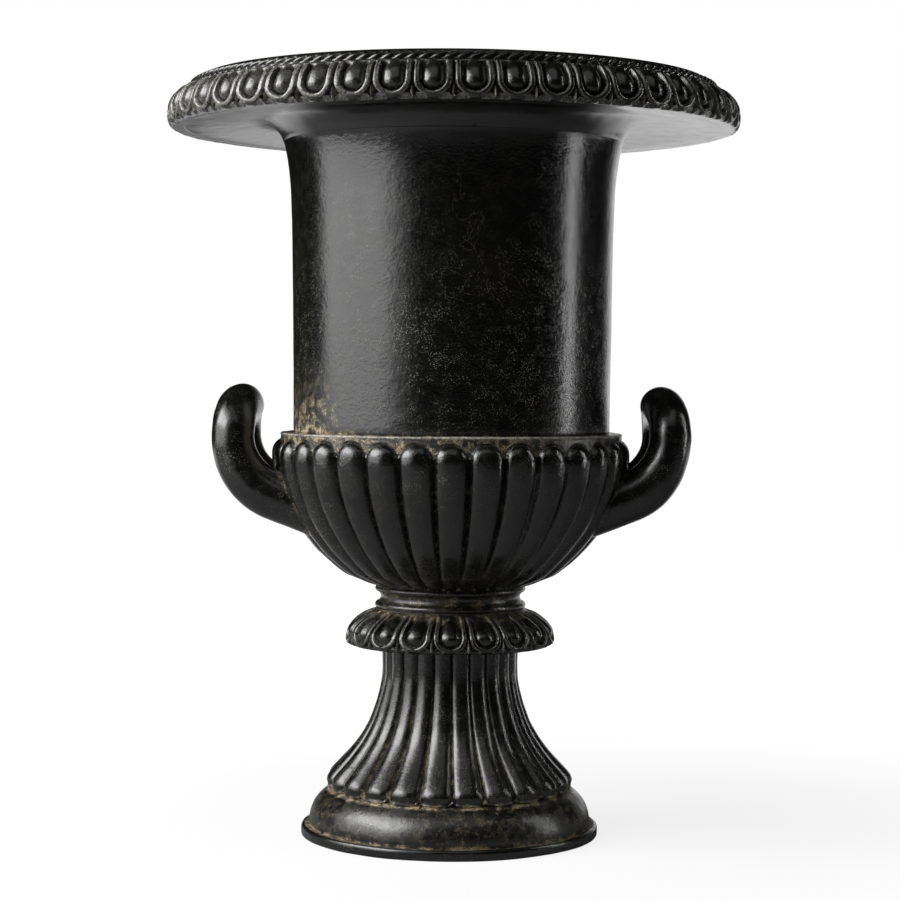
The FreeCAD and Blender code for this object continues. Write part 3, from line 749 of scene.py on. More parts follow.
@dataclass
class EggForm:
    """Sizes in mm of one framed egg, measured from the lower edge of its band.

    The chisel left small ridges along the frame's bar, a turn of so many radians to each mm.
    """

    half_pitch: float
    frame_outer: float
    frame_inner: float
    frame_height: float
    egg_half: float
    egg_height: float
    egg_foot: float
    egg_rise: float
    dart_top: float
    dart_half: float
    ridge_height: float = 0.10
    ridge_turn: float = 5.2

    def from_bar(self, across, up):
        """Distance from the middle of the frame's bar, which has a round bottom and straight sides."""
        return self.reach(across, up) - (self.frame_inner + self.frame_outer) / 2

    def reach(self, across, up):
        """Distance from the middle of the frame's round bottom, and from its axis above that."""
        return np.hypot(across, np.minimum(up - self.frame_outer, 0))

    def heights(self, across, up):
        """Height over the ground at distances across from the egg's axis and up from the edge."""
        from_bar = self.from_bar(across, up)
        half_bar = (self.frame_outer - self.frame_inner) / 2
        bar = np.clip(1 - (np.abs(from_bar) / half_bar) ** 5, 0, 1) ** 0.5
        ridges = self.ridge_height * np.cos(from_bar * self.ridge_turn) * ease(bar, 0.3, 0.8)
        frame_heights = self.frame_height * bar + ridges
        round_foot = self.egg_half * 1.15
        centre = self.egg_foot + round_foot
        tall = np.where(up < centre, round_foot, self.egg_rise)
        egg = 1 - (across / self.egg_half) ** 2 - ((up - centre) / tall) ** 2
        egg_heights = self.egg_height * np.clip(egg, 0, None) ** 0.72
        aside = self.half_pitch - np.abs(across)
        widening = self.dart_half * np.clip(1 - up / self.dart_top, 0.13, 1)
        dart = np.clip(1 - aside / widening, 0, 1)
        dart_rise = 0.40 + 0.55 * ease(self.dart_top - up, 0, self.dart_top * 0.8)
        dart_heights = self.frame_height * dart_rise * dart ** 0.8
        return np.maximum(np.maximum(frame_heights, egg_heights), dart_heights)


# How far below a band's edge, in mm, its relief starts and is full.
EGG_EDGE = (-3.4, -0.4)


def egg_places(theta, count, phase, spread):
    """Which egg each column belongs to, and its place across that egg as a share of half the pitch."""
    turns = (theta - phase) / FULL_TURN * count
    nearest = np.round(turns)
    egg = nearest.astype(int) % count
    across = (turns - nearest) * 2
    return egg, np.clip(across + spread[egg] * (1 - across ** 2), -1, 1)


def edge_of(rows, height):
    """Distance along a face's rows at which it rises through a height."""
    rising = rows[:, 1].argmin()
    return np.interp(height, rows[rising:, 1], run_along(rows)[rising:])


# Collar: a ring of long framed eggs

COLLAR_REACH = 70.6
COLLAR_RISE = COLLAR_TOP - COLLAR_FOOT
# Shares of the collar's height, with its radius over its reach, less one.
collar_outline_shares = [
    (-0.09, -0.035), (-0.04, -0.008), (0.04, 0.0), (0.14, -0.001), (0.25, -0.008), (0.385, -0.02),
    (0.51, -0.043), (0.63, -0.076), (0.755, -0.123), (0.88, -0.182), (0.985, -0.262),
]


def egg_collar():
    crest = [(COLLAR_REACH * (1 + r), COLLAR_FOOT + COLLAR_RISE * z) for z, r in collar_outline_shares]
    skirt, skirt_foot = crest[0]
    outer = joint_to_joint("bed_stem", STEM_WAIST + 1, [
        (STEM_WAIST + 2, COLLAR_FOOT),
        (STEM_WAIST + 7, COLLAR_FOOT),
        (skirt - 3.5, skirt_foot),
        (skirt - 0.6, skirt_foot - 0.1),
        *curve(crest),
    ], NECK_RING - 0.6, "bed_collar", 0.66)
    inner = drilled("bed_stem", "bed_collar", 5)
    half_pitch = math.pi * COLLAR_REACH / TONGUE_COUNT
    form = EggForm(
        half_pitch, frame_outer=11.5, frame_inner=7.9, frame_height=3.2, egg_half=7.2, egg_height=3.8,
        egg_foot=4.6, egg_rise=60, dart_top=20, dart_half=2.8)
    spread = random.normal(0, 0.03, TONGUE_COUNT)
    levels = random.normal(0, 0.10, TONGUE_COUNT)
    along = run_along(outer)
    edge = edge_of(outer, COLLAR_FOOT - 1.2)
    top = edge + run_along(np.array(crest))[-1] - 2.0

    def relief(theta, rows):
        egg, across = egg_places(theta, TONGUE_COUNT, -math.pi / 2, spread)
        up = (along - edge)[:, None]
        heights = form.heights(across * half_pitch, np.maximum(up, 1.5))
        fade = (1 - ease(along, top - 5, top))[:, None]
        on_face = (along < top + 1)[:, None]
        depth = form.egg_height - heights - levels[egg]
        return -depth * ease(up, *EGG_EDGE) * (0.25 + 0.75 * fade) * on_face

    def dust(theta, rows):
        return (0.42 * ease(along - edge, 21, 28) + 0.10)[:, None]

    turned_stone("egg_collar_stone", [
        Band(outer, TONGUE_COUNT * 42, relief, dust, hammered=1.0, silt=0.25, fray=0.3),
        Band(inner, TONGUE_COUNT * 21)], "egg_collar")


# Neck: two rings and a hollow between them

NECK_RING = 50.4
NECK_WAIST = 46.5


def neck_ring():
    hollow = NECK_WAIST + 1.2
    outer = joint_to_joint("bed_collar", NECK_RING - 1.2, [
        *arc((NECK_RING - 0.9, NECK_FOOT + 0.2), (NECK_RING - 0.9, NECK_FOOT + 4.2), 1.0),
        (NECK_RING - 1.9, NECK_FOOT + 4.6),
        *arc((hollow, NECK_FOOT + 5.0), (hollow, NECK_TOP - 4.4), -1.1),
        (NECK_RING - 1.9, NECK_TOP - 3.9),
        *arc((NECK_RING - 0.8, NECK_TOP - 3.4), (NECK_RING - 0.8, NECK_TOP - 0.3), 0.8),
    ], NECK_RING - 1.2, "bed_neck", 0.55, soft=0.3)
    bands = [Band(outer, 480, dust=0.35, flaws=0.7), Band(drilled("bed_collar", "bed_neck", 5), 120)]
    turned_stone("neck_ring_stone", bands, "neck_ring")


# Bowl: fingers with round heads under a narrow ledge

BOWL_REACH = reach_of("gadrooned_bowl")
BOWL_FACE = 51.0
LEDGE_REACH = 114.0
LOBE_TOP = LEDGE_TOP - 3.9
LOBE_DEPTH = 6.3
HEAD_RISE = 11.2
FIELD_REACH = LEDGE_REACH - 0.4
# Shares of the lobes' height, with how far their outline has come from the bowl's foot to its reach.
lobe_outline_shares = [
    (0.0, 0.002), (0.027, 0.118), (0.056, 0.213), (0.081, 0.293), (0.137, 0.398), (0.192, 0.486),
    (0.247, 0.567), (0.302, 0.633), (0.386, 0.724), (0.495, 0.823), (0.628, 0.913), (0.70, 0.950),
    (0.772, 0.975), (0.84, 0.990), (0.90, 0.993), (0.95, 0.988), (1.0, 0.974),
]
# Shares of the lobes' height, with how deep the grooves are there, as a share of their full depth.
lobe_depth_shares = [
    (0.0, 0.28), (0.022, 0.36), (0.078, 0.48), (0.19, 0.66), (0.30, 0.80), (0.495, 0.95), (0.628, 1.0),
]
lobe_outline = curve([
    (BOWL_FACE + (BOWL_REACH - BOWL_FACE) * r, BOWL_FOOT + (LOBE_TOP - BOWL_FOOT) * z)
    for z, r in lobe_outline_shares])


def lobe_crest(height):
    """Radius over the crests of the lobes at a height."""
    outline = np.array(lobe_outline)
    return np.interp(height, outline[:, 1], outline[:, 0])


def bowl_step(height):
    """Rows are close together at the heads of the lobes."""
    return np.where(height > LOBE_TOP - HEAD_RISE - 2, 0.62, 1.9)


def bowl_inside():
    wall_foot = LEDGE_TOP - 42.0
    return section([
        (reach_of("bed_bowl") - 5, LEDGE_TOP),
        (RING_SPIGOT, LEDGE_TOP),
        (RING_SPIGOT, LEDGE_TOP + SPIGOT_HEIGHT),
        (VESSEL_BORE, LEDGE_TOP + SPIGOT_HEIGHT),
        (VESSEL_BORE, wall_foot),
        *arc((VESSEL_BORE, wall_foot), (34.0, FLOOR_TOP), -8.5),
        (BORE, FLOOR_TOP),
        (BORE, BOWL_FOOT + SPIGOT_HEIGHT),
        (SPIGOT + FIT_GAP, BOWL_FOOT + SPIGOT_HEIGHT),
        (SPIGOT + FIT_GAP, BOWL_FOOT),
        (reach_of("bed_neck") - 6, BOWL_FOOT),
    ], 4)


def gadrooned_bowl():
    """The bowl's lobes and ledge, in two halves that share the rod's bore."""
    outer = joint_to_joint("bed_neck", NECK_RING - 0.8, [
        *lobe_outline,
        (BOWL_REACH - 1.0, LOBE_TOP + 0.3),
        (LEDGE_REACH, LOBE_TOP + 0.5),
        (LEDGE_REACH, LEDGE_TOP - 0.7),
        (LEDGE_REACH - 0.7, LEDGE_TOP),
        (BARREL_REACH + 0.4, LEDGE_TOP),
    ], BARREL_REACH - 0.3, "bed_bowl", bowl_step, soft=0.25)
    inner = bowl_inside()
    # The lobes' bodies stand square to the outline, and their heads stand straight out.
    at_head = ease(outer[:, 1:], LOBE_TOP - HEAD_RISE - 12, LOBE_TOP - HEAD_RISE)
    at_head = at_head * (outer[:, 1:] < LEDGE_TOP - 1.2)
    ways = outward(outer) * (1 - at_head) + np.array([1.0, 0.0]) * at_head
    spread = random.normal(0, 0.022, LOBE_COUNT)
    widths = 0.935 + random.normal(0, 0.012, LOBE_COUNT)
    tops = random.normal(0, 0.35, LOBE_COUNT)
    levels = random.normal(0, 0.15, LOBE_COUNT)
    share = between(outer[:, 1:], BOWL_FOOT, LOBE_TOP)
    depth = LOBE_DEPTH * np.interp(share, *zip(*lobe_depth_shares))

    def lobe_reach(theta, rows):
        """Which lobe each column belongs to, and 0 along its middle line to 1 on its outline."""
        lobe, across = egg_places(theta, LOBE_COUNT, -math.pi / 2, spread)
        centre = LOBE_TOP - 0.4 - HEAD_RISE + tops[lobe]
        above = np.maximum(rows[:, 1:] - centre, 0) / HEAD_RISE
        return lobe, np.hypot(across / widths[lobe], above)

    def relief(theta, rows):
        lobe, reach = lobe_reach(theta, rows)
        radius, height = rows[:, :1], rows[:, 1:]
        dome = np.sqrt(np.clip(1 - reach ** 2.2, 0, 1))
        crest = lobe_crest(height)
        body = dome * (depth + levels[lobe]) - depth
        ground = np.minimum(crest - depth, FIELD_REACH)
        head = ground + dome * (crest + levels[lobe] - ground)
        field = FIELD_REACH * ease(reach, 1.0, 1.06)
        on_lobes = (height > BOWL_FOOT + 0.05) & (height < LEDGE_TOP - 1.4)
        return (body * (1 - at_head) + (np.maximum(head, field) - radius) * at_head) * on_lobes

    def dust(theta, rows):
        lobe, reach = lobe_reach(theta, rows)
        height = rows[:, 1:]
        field = ease(reach, 0.97, 1.08) * ease(height, LOBE_TOP - 13, LOBE_TOP - 4)
        body = 1 - ease(height, LOBE_TOP - 24, LOBE_TOP - 14)
        # The dust of the field between the heads is heaviest towards the left front.
        return 0.85 * field * (0.62 + 0.38 * towards(theta, 1.25)) + 0.22 * body

    def hammered(theta, rows):
        return 0.5 + 0.5 * ease(rows[:, 1:], LOBE_TOP - 24, LOBE_TOP - 12)

    def wear_and_highlight(theta, rows):
        lobe, reach = lobe_reach(theta, rows)
        radius, height = rows[:, :1], rows[:, 1:]
        # A pale line round the tops of the lobes' heads.
        outline = peak(reach, 1.03, 0.035) * ease(height, LOBE_TOP - 10, LOBE_TOP - 5)
        # Pale line along the ledge's arris, partly a painted highlight: paler towards the left front, where
        # the softbox falls.
        ledge = peak(height, LEDGE_TOP - 0.4, 0.8) * (radius > LEDGE_REACH - 1.6)
        return 0.55 * outline + 1.3 * ledge * (0.7 + 0.3 * towards(theta, 1.25))

    for half, start in (("front", -math.pi), ("back", 0.0)):
        sweep = (start, math.pi)
        turned_stone(f"gadrooned_bowl_{half}_stone", [
            Band(outer, LOBE_COUNT * 12, relief, dust, wear_and_highlight, hammered, flaws=1.7, silt=0.12, fray=0.5,
                 ways=ways, sweep=sweep),
            Band(inner, LOBE_COUNT * 3, dust=inside_dust, sweep=sweep)], "gadrooned_bowl")


def inside_dust(theta, rows):
    """A film of dust inside the vessel, thicker on its floor."""
    low = 1 - ease(rows[:, 1:], FLOOR_TOP, FLOOR_TOP + 40)
    return 0.22 + 0.4 * low


# Barrel: a smooth tube that flares into the cove of the rim

BARREL_REACH = 105.5
THROAT_REACH = BARREL_REACH + 5.5
BARREL_RISE = BARREL_TOP - BARREL_FOOT
# Shares of the barrel's height, with its radius over its reach, less one.
barrel_outline_shares = [(0.0, 0.0), (0.18, 0.001), (0.32, 0.004), (0.56, 0.0095), (0.71, 0.0142)]
throat = curve([
    *[(BARREL_REACH * (1 + r), BARREL_FOOT + BARREL_RISE * z) for z, r in barrel_outline_shares],
    (THROAT_REACH - 3.25, BARREL_TOP - 34),
    (THROAT_REACH - 2.25, BARREL_TOP - 21.5),
    (THROAT_REACH - 1.0, BARREL_TOP - 11.8),
    (THROAT_REACH + 0.25, BARREL_TOP - 5.2),
    (THROAT_REACH + 1.5, BARREL_TOP - 0.2),
    (THROAT_REACH + 4.2, RIM_FOOT + 4.8),
    (THROAT_REACH + 8.4, RIM_FOOT + 8.9),
    (THROAT_REACH + 14.0, RIM_FOOT + 11.8),
    (THROAT_REACH + 21.0, RIM_FOOT + 12.6),
])


def throat_face(height):
    """Radius of the throat's face at a height, on the barrel or the rim."""
    outline = np.array(throat)
    return np.interp(height, outline[:, 1], outline[:, 0])


def barrel():
    side = [place for place in throat if BARREL_FOOT + 1 < place[1] < BARREL_TOP - 1]
    outer = joint_to_joint(
        "bed_bowl", BARREL_REACH - 0.2, side, throat_face(BARREL_TOP + JOINT - CHAMFER), "bed_barrel", 1.7)
    inner = section([
        (reach_of("bed_barrel") - 6, BARREL_TOP),
        (RING_SPIGOT, BARREL_TOP),
        (RING_SPIGOT, BARREL_TOP + SPIGOT_HEIGHT),
        (VESSEL_BORE, BARREL_TOP + SPIGOT_HEIGHT),
        (VESSEL_BORE, BARREL_FOOT + SPIGOT_HEIGHT),
        (RING_SPIGOT + FIT_GAP, BARREL_FOOT + SPIGOT_HEIGHT),
        (RING_SPIGOT + FIT_GAP, BARREL_FOOT),
        (reach_of("bed_bowl") - 5, BARREL_FOOT),
    ], 4)

    def dust(theta, rows):
        height = rows[:, 1:]
        low_band = 1 - ease(height, BARREL_FOOT, BARREL_FOOT + 7)
        climb = 1 - ease(height, BARREL_FOOT - 10, BARREL_FOOT + 72)
        return 0.34 * low_band + 0.74 * climb * ease(towards(theta, 1.13), 0.80, 1.0)

    turned_stone("barrel_stone", [
        Band(outer, 576, dust=dust, hammered=0.7, flaws=0.45), Band(inner, 192, dust=inside_dust)],
        "barrel")


# Rim: the turned lip with its cove, soffit, mouth and rope moulding

RIM_REACH = 190.2
COVE_TOP = RIM_FOOT + 12.7
SOFFIT = COVE_TOP - 4.9
BAND_EDGE = SOFFIT + 0.6
BAND_TOP = SOFFIT + 25.5
BAND_TOP_REACH = 176.6
MOUTH_REACH = 156.0
LIP_REACH = 168.0
STRAND_DEPTH = 1.9
# How far across a strand its round crest goes, and how far it falls there, in shares of its circle.
STRAND_ROUND = 0.95
STRAND_FALL = 0.69


def rim():
    """The lip without its egg band: cove and soffit, rope moulding, and mouth."""
    low = RIM_FOOT - JOINT + CHAMFER
    socket = RING_SPIGOT + FIT_GAP
    face = section([
        (throat_face(low), low),
        *[place for place in throat if place[1] > RIM_FOOT + 1],
        *curve([
            (THROAT_REACH + 25, COVE_TOP - 0.5), (150, COVE_TOP - 2.3), (168, COVE_TOP - 4.5),
            (178.5, SOFFIT + 0.05)]),
        (180.5, SOFFIT + 0.5),
        (178.5, SOFFIT + 9),
    ], 2.8, soft=0.8)
    below = np.vstack([
        [(socket, RIM_FOOT + 2), (socket, RIM_FOOT)], under("bed_barrel", throat_face(low))[:-1], face])
    rope_foot = (BAND_TOP_REACH - 2.3, BAND_TOP + 0.4)
    rope_top = (BAND_TOP_REACH - 5.0, BAND_TOP + 4.4)
    rope = section([
        (BAND_TOP_REACH - 6, BAND_TOP - 3),
        (BAND_TOP_REACH - 2.6, BAND_TOP - 0.2),
        *arc(rope_foot, rope_top, 1.6),
        (LIP_REACH + 2.2, RIM_TOP - 2.4),
        (LIP_REACH + 0.5, RIM_TOP - 0.5),
        (LIP_REACH - 0.4, RIM_TOP),
        (LIP_REACH - 4, RIM_TOP),
    ], 0.7, 0.3)
    mouth = section([
        (LIP_REACH - 5, RIM_TOP),
        (MOUTH_REACH + 0.8, RIM_TOP),
        *arc((MOUTH_REACH, RIM_TOP - 0.2), (VESSEL_BORE, RIM_FOOT + SPIGOT_HEIGHT - 0.5), 9.7),
        (VESSEL_BORE, RIM_FOOT + SPIGOT_HEIGHT - 0.8),
        (socket, RIM_FOOT + SPIGOT_HEIGHT),
    ], 3.0)
    strands = EGG_COUNT * STRANDS_PER_EGG
    along = run_along(rope)[:, None]

    def relief(theta, rows):
        """Slanting strands with round crests."""
        pitch = FULL_TURN * rope_foot[0] / strands
        turns = theta / FULL_TURN * strands - along / pitch * 0.95
        across = np.abs(turns - np.round(turns)) * 2
        share = (rows[:, 1:] - rope_foot[1]) / (rope_top[1] - rope_foot[1])
        on_rope = ease(share, -0.15, 0.12) * (1 - ease(share, 0.86, 1.1))
        strand = 1 - np.sqrt(1 - (STRAND_ROUND * across) ** 2)
        return -STRAND_DEPTH * strand / STRAND_FALL * on_rope

    turned_stone("rim_stone", [
        Band(below, 384, dust=0.05),
        Band(rope, strands * 8 // 3 * 4, relief, silt=0.2, fray=0.5),
        Band(mouth, 384, dust=inside_dust)], "rim")


def rim_eggs():
    """Egg and dart band of the rim, in four quarters."""
    outer = section([
        (176, SOFFIT + 1.2),
        (178, SOFFIT + 0.1),
        (185, SOFFIT - 0.1),
        (188.0, SOFFIT - 0.1),
        *curve([
            (188.6, BAND_EDGE), (189.6, SOFFIT + 3.2), (RIM_REACH, SOFFIT + 7.0), (190, SOFFIT + 10.0),
            (188.9, SOFFIT + 13.9), (187.1, SOFFIT + 17.8), (184.3, SOFFIT + 21.4), (181, SOFFIT + 23.9),
            (BAND_TOP_REACH + 1.2, BAND_TOP - 0.1)]),
        (BAND_TOP_REACH, BAND_TOP + 0.3),
        (BAND_TOP_REACH - 2.4, BAND_TOP + 0.2),
    ], 0.66, 0.3, 0.3)
    inner = section([
        (BAND_TOP_REACH - 4, BAND_TOP - 1.5), (BAND_TOP_REACH - 5, SOFFIT + 8), (175.5, SOFFIT + 2.2)], 8)
    half_pitch = math.pi * RIM_REACH / EGG_COUNT
    form = EggForm(
        half_pitch, frame_outer=11.9, frame_inner=7.8, frame_height=3.9, egg_half=7.1, egg_height=4.5,
        egg_foot=4.6, egg_rise=26, dart_top=13, dart_half=3.0)
    spread = random.normal(0, 0.02, EGG_COUNT)
    levels = random.normal(0, 0.12, EGG_COUNT)
    up = (run_along(outer) - edge_of(outer, BAND_EDGE))[:, None]
    ridge = edge_of(outer, BAND_TOP - 0.5) - edge_of(outer, BAND_EDGE)
    phase = -math.pi / 2 + math.pi / EGG_COUNT
    above_edge = np.maximum(up, 0.9)

    def relief(theta, rows):
        egg, across = egg_places(theta, EGG_COUNT, phase, spread)
        depth = form.egg_height - form.heights(across * half_pitch, above_edge) - levels[egg]
        at_ridge = ease(up, ridge - 1.9, ridge - 1.1)
        return -(depth * ease(up, *EGG_EDGE) * (1 - at_ridge) + 0.9 * at_ridge)

    def dust(theta, rows):
        egg, across = egg_places(theta, EGG_COUNT, phase, spread)
        beside = ease(np.abs(across), 0.62, 0.85)
        return 0.5 * beside * (1 - ease(up, 5, 10)) * ease(up, 0, 2)

    # Pale grey on the bars and eggs: a painted highlight on the side that faces the softbox.
    def wear_and_highlight(theta, rows):
        egg, across = egg_places(theta, EGG_COUNT, phase, spread)
        on_bar = 1 - ease(np.abs(form.from_bar(across * half_pitch, above_edge)), 1.6, 2.3)
        on_egg = 1 - ease(form.reach(across * half_pitch, above_edge), form.egg_half - 2, form.egg_half)
        # Painted highlight: the grey is laid only on the left, the side the softbox falls on, and fades out
        # towards the front.
        left = ease(towards(theta, 1.12), 0.3, 1.0)
        return (0.32 * on_bar + 0.16 * on_egg) * left * ease(up, 0.5, 3)

    for quarter in range(4):
        sweep = (-math.pi + quarter * math.pi / 2, math.pi / 2)
        turned_stone(f"rim_eggs_{quarter + 1}_stone", [
            Band(outer, EGG_COUNT * 11, relief, dust, wear_and_highlight, hammered=1.0, silt=0.08, fray=0.30, sweep=sweep),
            Band(inner, EGG_COUNT, sweep=sweep)], "rim")


# Handles: two arms that rise from the lobes and join in an arch

ARM_OFFSET = 28.3
ARM_REACH = 143.7
ARM_RADIUS = 13.9
ROOT_RADIUS = 16.2
ARM_BEND = 42.0
ARCH_FOOT = 266.0
ARCH_RISE = 20.2
ARCH_LEAN = 4.0
ROOT_ANGLE = math.radians(20.5)
ROOT_DEPTH = 9.0
ROOT_LENGTH = 62.0
HANDLE_SWAY = 0.25
HANDLE_DENTS = 0.07


def arm_path():
    """Centres, ways and radii of the sections of one arm, from its root to the crown of the arch."""
    path = []
    sine, cosine = math.sin(ROOT_ANGLE), math.cos(ROOT_ANGLE)
    bend_start = np.array([ARM_REACH - ARM_BEND * (1 - sine), -ARM_OFFSET, ARCH_FOOT - ARM_BEND * cosine])
    for angle in np.linspace(ROOT_ANGLE, math.pi / 2, 34):
        passed = (angle - ROOT_ANGLE) / (math.pi / 2 - ROOT_ANGLE)
        centre = bend_start + ARM_BEND * np.array([math.sin(angle) - sine, 0, cosine - math.cos(angle)])
        radius = ROOT_RADIUS + (ARM_RADIUS - ROOT_RADIUS) * ease(passed, 0, 1)
        path.append((centre, np.array([math.cos(angle), 0, math.sin(angle)]), radius))
    for angle in np.linspace(0, math.pi / 2, 26)[1:]:
        sine, cosine = math.sin(angle), math.cos(angle)
        centre = np.array([
            ARM_REACH - ARCH_LEAN * (1 - cosine), -ARM_OFFSET * cosine, ARCH_FOOT + ARCH_RISE * sine])
        way = np.array([-ARCH_LEAN * sine, ARM_OFFSET * sine, ARCH_RISE * cosine])
        path.append((centre, way / np.linalg.norm(way), ARM_RADIUS))
    return path


def root_points(ring, way):
    """Points of the root's lines, from a little inside the lobes out to the first section."""
    near = np.zeros(len(ring))
    far = np.full(len(ring), ROOT_LENGTH)
    for _ in range(40):
        middle = (near + far) / 2
        points = ring - way * middle[:, None]
        outside = np.hypot(points[:, 0], points[:, 1]) > lobe_crest(points[:, 2]) - ROOT_DEPTH
        near = np.where(outside, middle, near)
        far = np.where(outside, far, middle)
    shares = np.linspace(1, 0, 30)[:-1]
    return [ring - way * (far * share)[:, None] for share in shares]


def handle_rings(sides):
    """Rings of points along a whole handle, from one root over the arch to the other."""
    angles = np.arange(sides) / sides * FULL_TURN
    half = arm_path()
    mirror = np.array([1, -1, 1])
    rings = []
    for centre, way, radius in half + [(c * mirror, -w * mirror, r) for c, w, r in reversed(half[:-1])]:
        out = np.array([1.0, 0, 0])
        out -= way * out.dot(way)
        out /= np.linalg.norm(out)
        side = np.cross(way, out)
        rings.append(centre + radius * (np.cos(angles)[:, None] * out + np.sin(angles)[:, None] * side))
    root_way = half[0][1]
    return np.array(root_points(rings[0], root_way) + rings + root_points(rings[-1], root_way)[::-1])


def handle(name, turn, node):
    sides = 96
    cosine, sine = math.cos(turn), math.sin(turn)
    spin = np.array([[cosine, -sine, 0], [sine, cosine, 0], [0, 0, 1]])
    rings = handle_rings(sides) @ spin.T
    away = rings - rings.mean(1, keepdims=True)
    away /= np.linalg.norm(away, axis=-1, keepdims=True)
    flaws = HANDLE_SWAY * SWAY(rings) + HANDLE_DENTS * DENTS(rings)
    rings = rings + away * flaws[..., None]
    count = len(rings)
    corner = np.arange(sides)
    following = (corner + 1) % sides
    faces = []
    for start in range(0, (count - 1) * sides, sides):
        following_start = start + sides
        faces.append(np.stack([
            start + corner, start + following, following_start + following, following_start + corner], 1))
    caps = [corner[::-1], (count - 1) * sides + corner]
    loops = np.concatenate([np.concatenate(faces).ravel(), *caps])
    totals = np.concatenate([np.full(len(faces) * sides, 4), [sides, sides]])
    near_bowl = np.hypot(rings[..., 0], rings[..., 1]) - lobe_crest(rings[..., 2])
    dust = 0.7 * (1 - ease(near_bowl, -2, 4.5)) + 0.10
    mesh = mesh_from(name, rings.reshape(-1, 3), loops, totals)
    add_shade(mesh, dust.ravel(), np.zeros(count * sides), np.full(count * sides, 0.25))
    dressed(name, mesh, node)


base_plinth()
reeded_stem()
egg_collar()
neck_ring()
gadrooned_bowl()
barrel()
rim()
rim_eggs()
handle("handle_right_stone", 0, "handle_right")
handle("handle_left_stone", math.pi, "handle_left")


# Floor, world, lamps and camera

FLOOR_REACH = 2.6
FLOOR_GREY = (0.28, 0.28, 0.285)
FLOOR_WHITE = (0.85, 0.85, 0.86)
BACKDROP = (0.25, 0.965, -0.05)
AIM = (0, 0, 0.42)


def stage_floor():
    """Round pale floor. The camera sees it white with the object's shadow; the object sees it grey, glowing
    white behind it as a lit backdrop.
    """
    sides = 96
    angles = [FULL_TURN * i / sides for i in range(sides)]
    corners = [(FLOOR_REACH * math.cos(angle), FLOOR_REACH * math.sin(angle), 0) for angle in angles]
    mesh = bpy.data.meshes.new("floor")
    mesh.from_pydata(corners, [], [list(range(sides))])
    floor = bpy.data.objects.new("floor", mesh)
    bpy.context.scene.collection.objects.link(floor)
    material = bpy.data.materials.new("floor_white")
    material.use_nodes = True
    mesh.materials.append(material)
    nodes = Nodes(material.node_tree)
    camera_ray = nodes.make("LightPath", {}).outputs["Is Camera Ray"]
    place = nodes.make("TexCoord", {}).outputs["Object"]
    away = nodes.make("VectorMath", {0: place}, operation="LENGTH").outputs["Value"]
    behind = nodes.make("SeparateXYZ", {0: place}).outputs["Y"]
    tone = nodes.mix(camera_ray, FLOOR_GREY, FLOOR_WHITE)
    matt = nodes.make("BsdfDiffuse", {"Color": tone}).outputs[0]
    shown = nodes.make("Emission", {"Strength": nodes.ramp(away, 0.16, 0.9, 1.04, 1.35)}).outputs[0]
    # Painted light: the floor behind the object glows white for the object's rays, standing in for a lit
    # backdrop.
    glow_behind = nodes.make("Emission", {"Strength": nodes.ramp(behind, 0.30, 0.8)}).outputs[0]
    for_camera = nodes.make("MixShader", {0: 0.80, 1: matt, 2: shown}).outputs[0]
    for_object = nodes.make("AddShader", {0: matt, 1: glow_behind}).outputs[0]
    blend = nodes.make("MixShader", {0: camera_ray, 1: for_object, 2: for_camera}).outputs[0]
    nodes.make("OutputMaterial", {"Surface": blend})


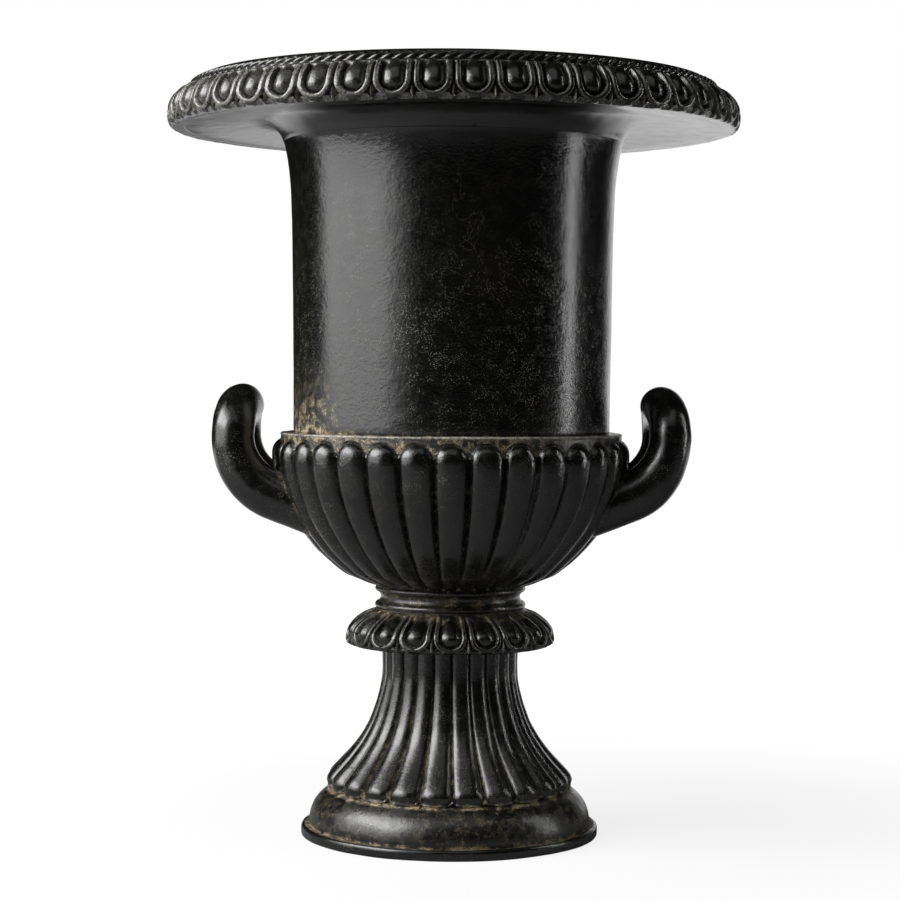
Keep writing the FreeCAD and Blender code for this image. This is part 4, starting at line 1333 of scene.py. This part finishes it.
def studio_world():
    """White for the camera, and for the object a white backdrop behind it in a dark room."""
    world = bpy.data.worlds.new("studio")
    bpy.context.scene.world = world
    world.use_nodes = True
    nodes = Nodes(world.node_tree)
    camera_ray = nodes.make("LightPath", {}).outputs["Is Camera Ray"]
    way = nodes.make("TexCoord", {}).outputs["Generated"]
    facing = nodes.make("VectorMath", {0: way, 1: BACKDROP}, operation="DOT_PRODUCT").outputs["Value"]
    backdrop = nodes.ramp(facing, 0.925, 0.98, 0.012, 1.0)
    level = nodes.math("MAXIMUM", backdrop, camera_ray)
    background = nodes.make("Background", {"Color": (1, 1, 1), "Strength": level})
    nodes.make("OutputWorld", {"Surface": background.outputs[0]})


def soft_lamp(name, place, aim, width, height, watts):
    """Area lamp that the camera doesn't see."""
    data = bpy.data.lights.new(name, "AREA")
    data.shape = "RECTANGLE"
    data.size = width
    data.size_y = height
    data.energy = watts
    lamp = bpy.data.objects.new(name, data)
    bpy.context.scene.collection.objects.link(lamp)
    lamp.location = place
    lamp.rotation_euler = (Vector(aim) - Vector(place)).to_track_quat("-Z", "Y").to_euler()
    lamp.visible_camera = False


def studio_camera():
    """Camera of the photograph: a long lens 306 mm over the floor, tipped down a little."""
    tilt = math.radians(1.833)
    roll = math.radians(0.386)
    sideways = Vector((1, 0, 0))
    forward = Vector((0, math.cos(tilt), -math.sin(tilt)))
    upright = Vector((0, math.sin(tilt), math.cos(tilt)))
    right = sideways * math.cos(roll) + upright * math.sin(roll)
    up = upright * math.cos(roll) - sideways * math.sin(roll)
    data = bpy.data.cameras.new("camera")
    data.sensor_width = 36.0
    data.lens = 93.0
    camera = bpy.data.objects.new("camera", data)
    bpy.context.scene.collection.objects.link(camera)
    turn = Matrix((right, up, -forward)).transposed().to_4x4()
    camera.matrix_world = Matrix.Translation((-0.00092, -1.5547, 0.3063)) @ turn
    bpy.context.scene.camera = camera


stage_floor()
studio_world()
soft_lamp("softbox_left", (-1.185, -0.396, 0.88), AIM, 1.6, 1.6, 20)
soft_lamp("softbox_wing", (-0.868, -1.345, 0.88), (0.317, -0.949, 0.42), 0.4, 1.6, 1.4)
soft_lamp("softbox_core", (-1.16, -0.387, 0.97), AIM, 1.3, 0.7, 17)
soft_lamp("strip_right", (1.298, -0.03, 0.62), AIM, 0.045, 1.2, 3.2)
soft_lamp("overhead", (0.0, -1.0, 2.2), (0, 0, 0.3), 2.0, 1.5, 4.2)
studio_camera()
bpy.context.scene.view_settings.view_transform = "Standard"
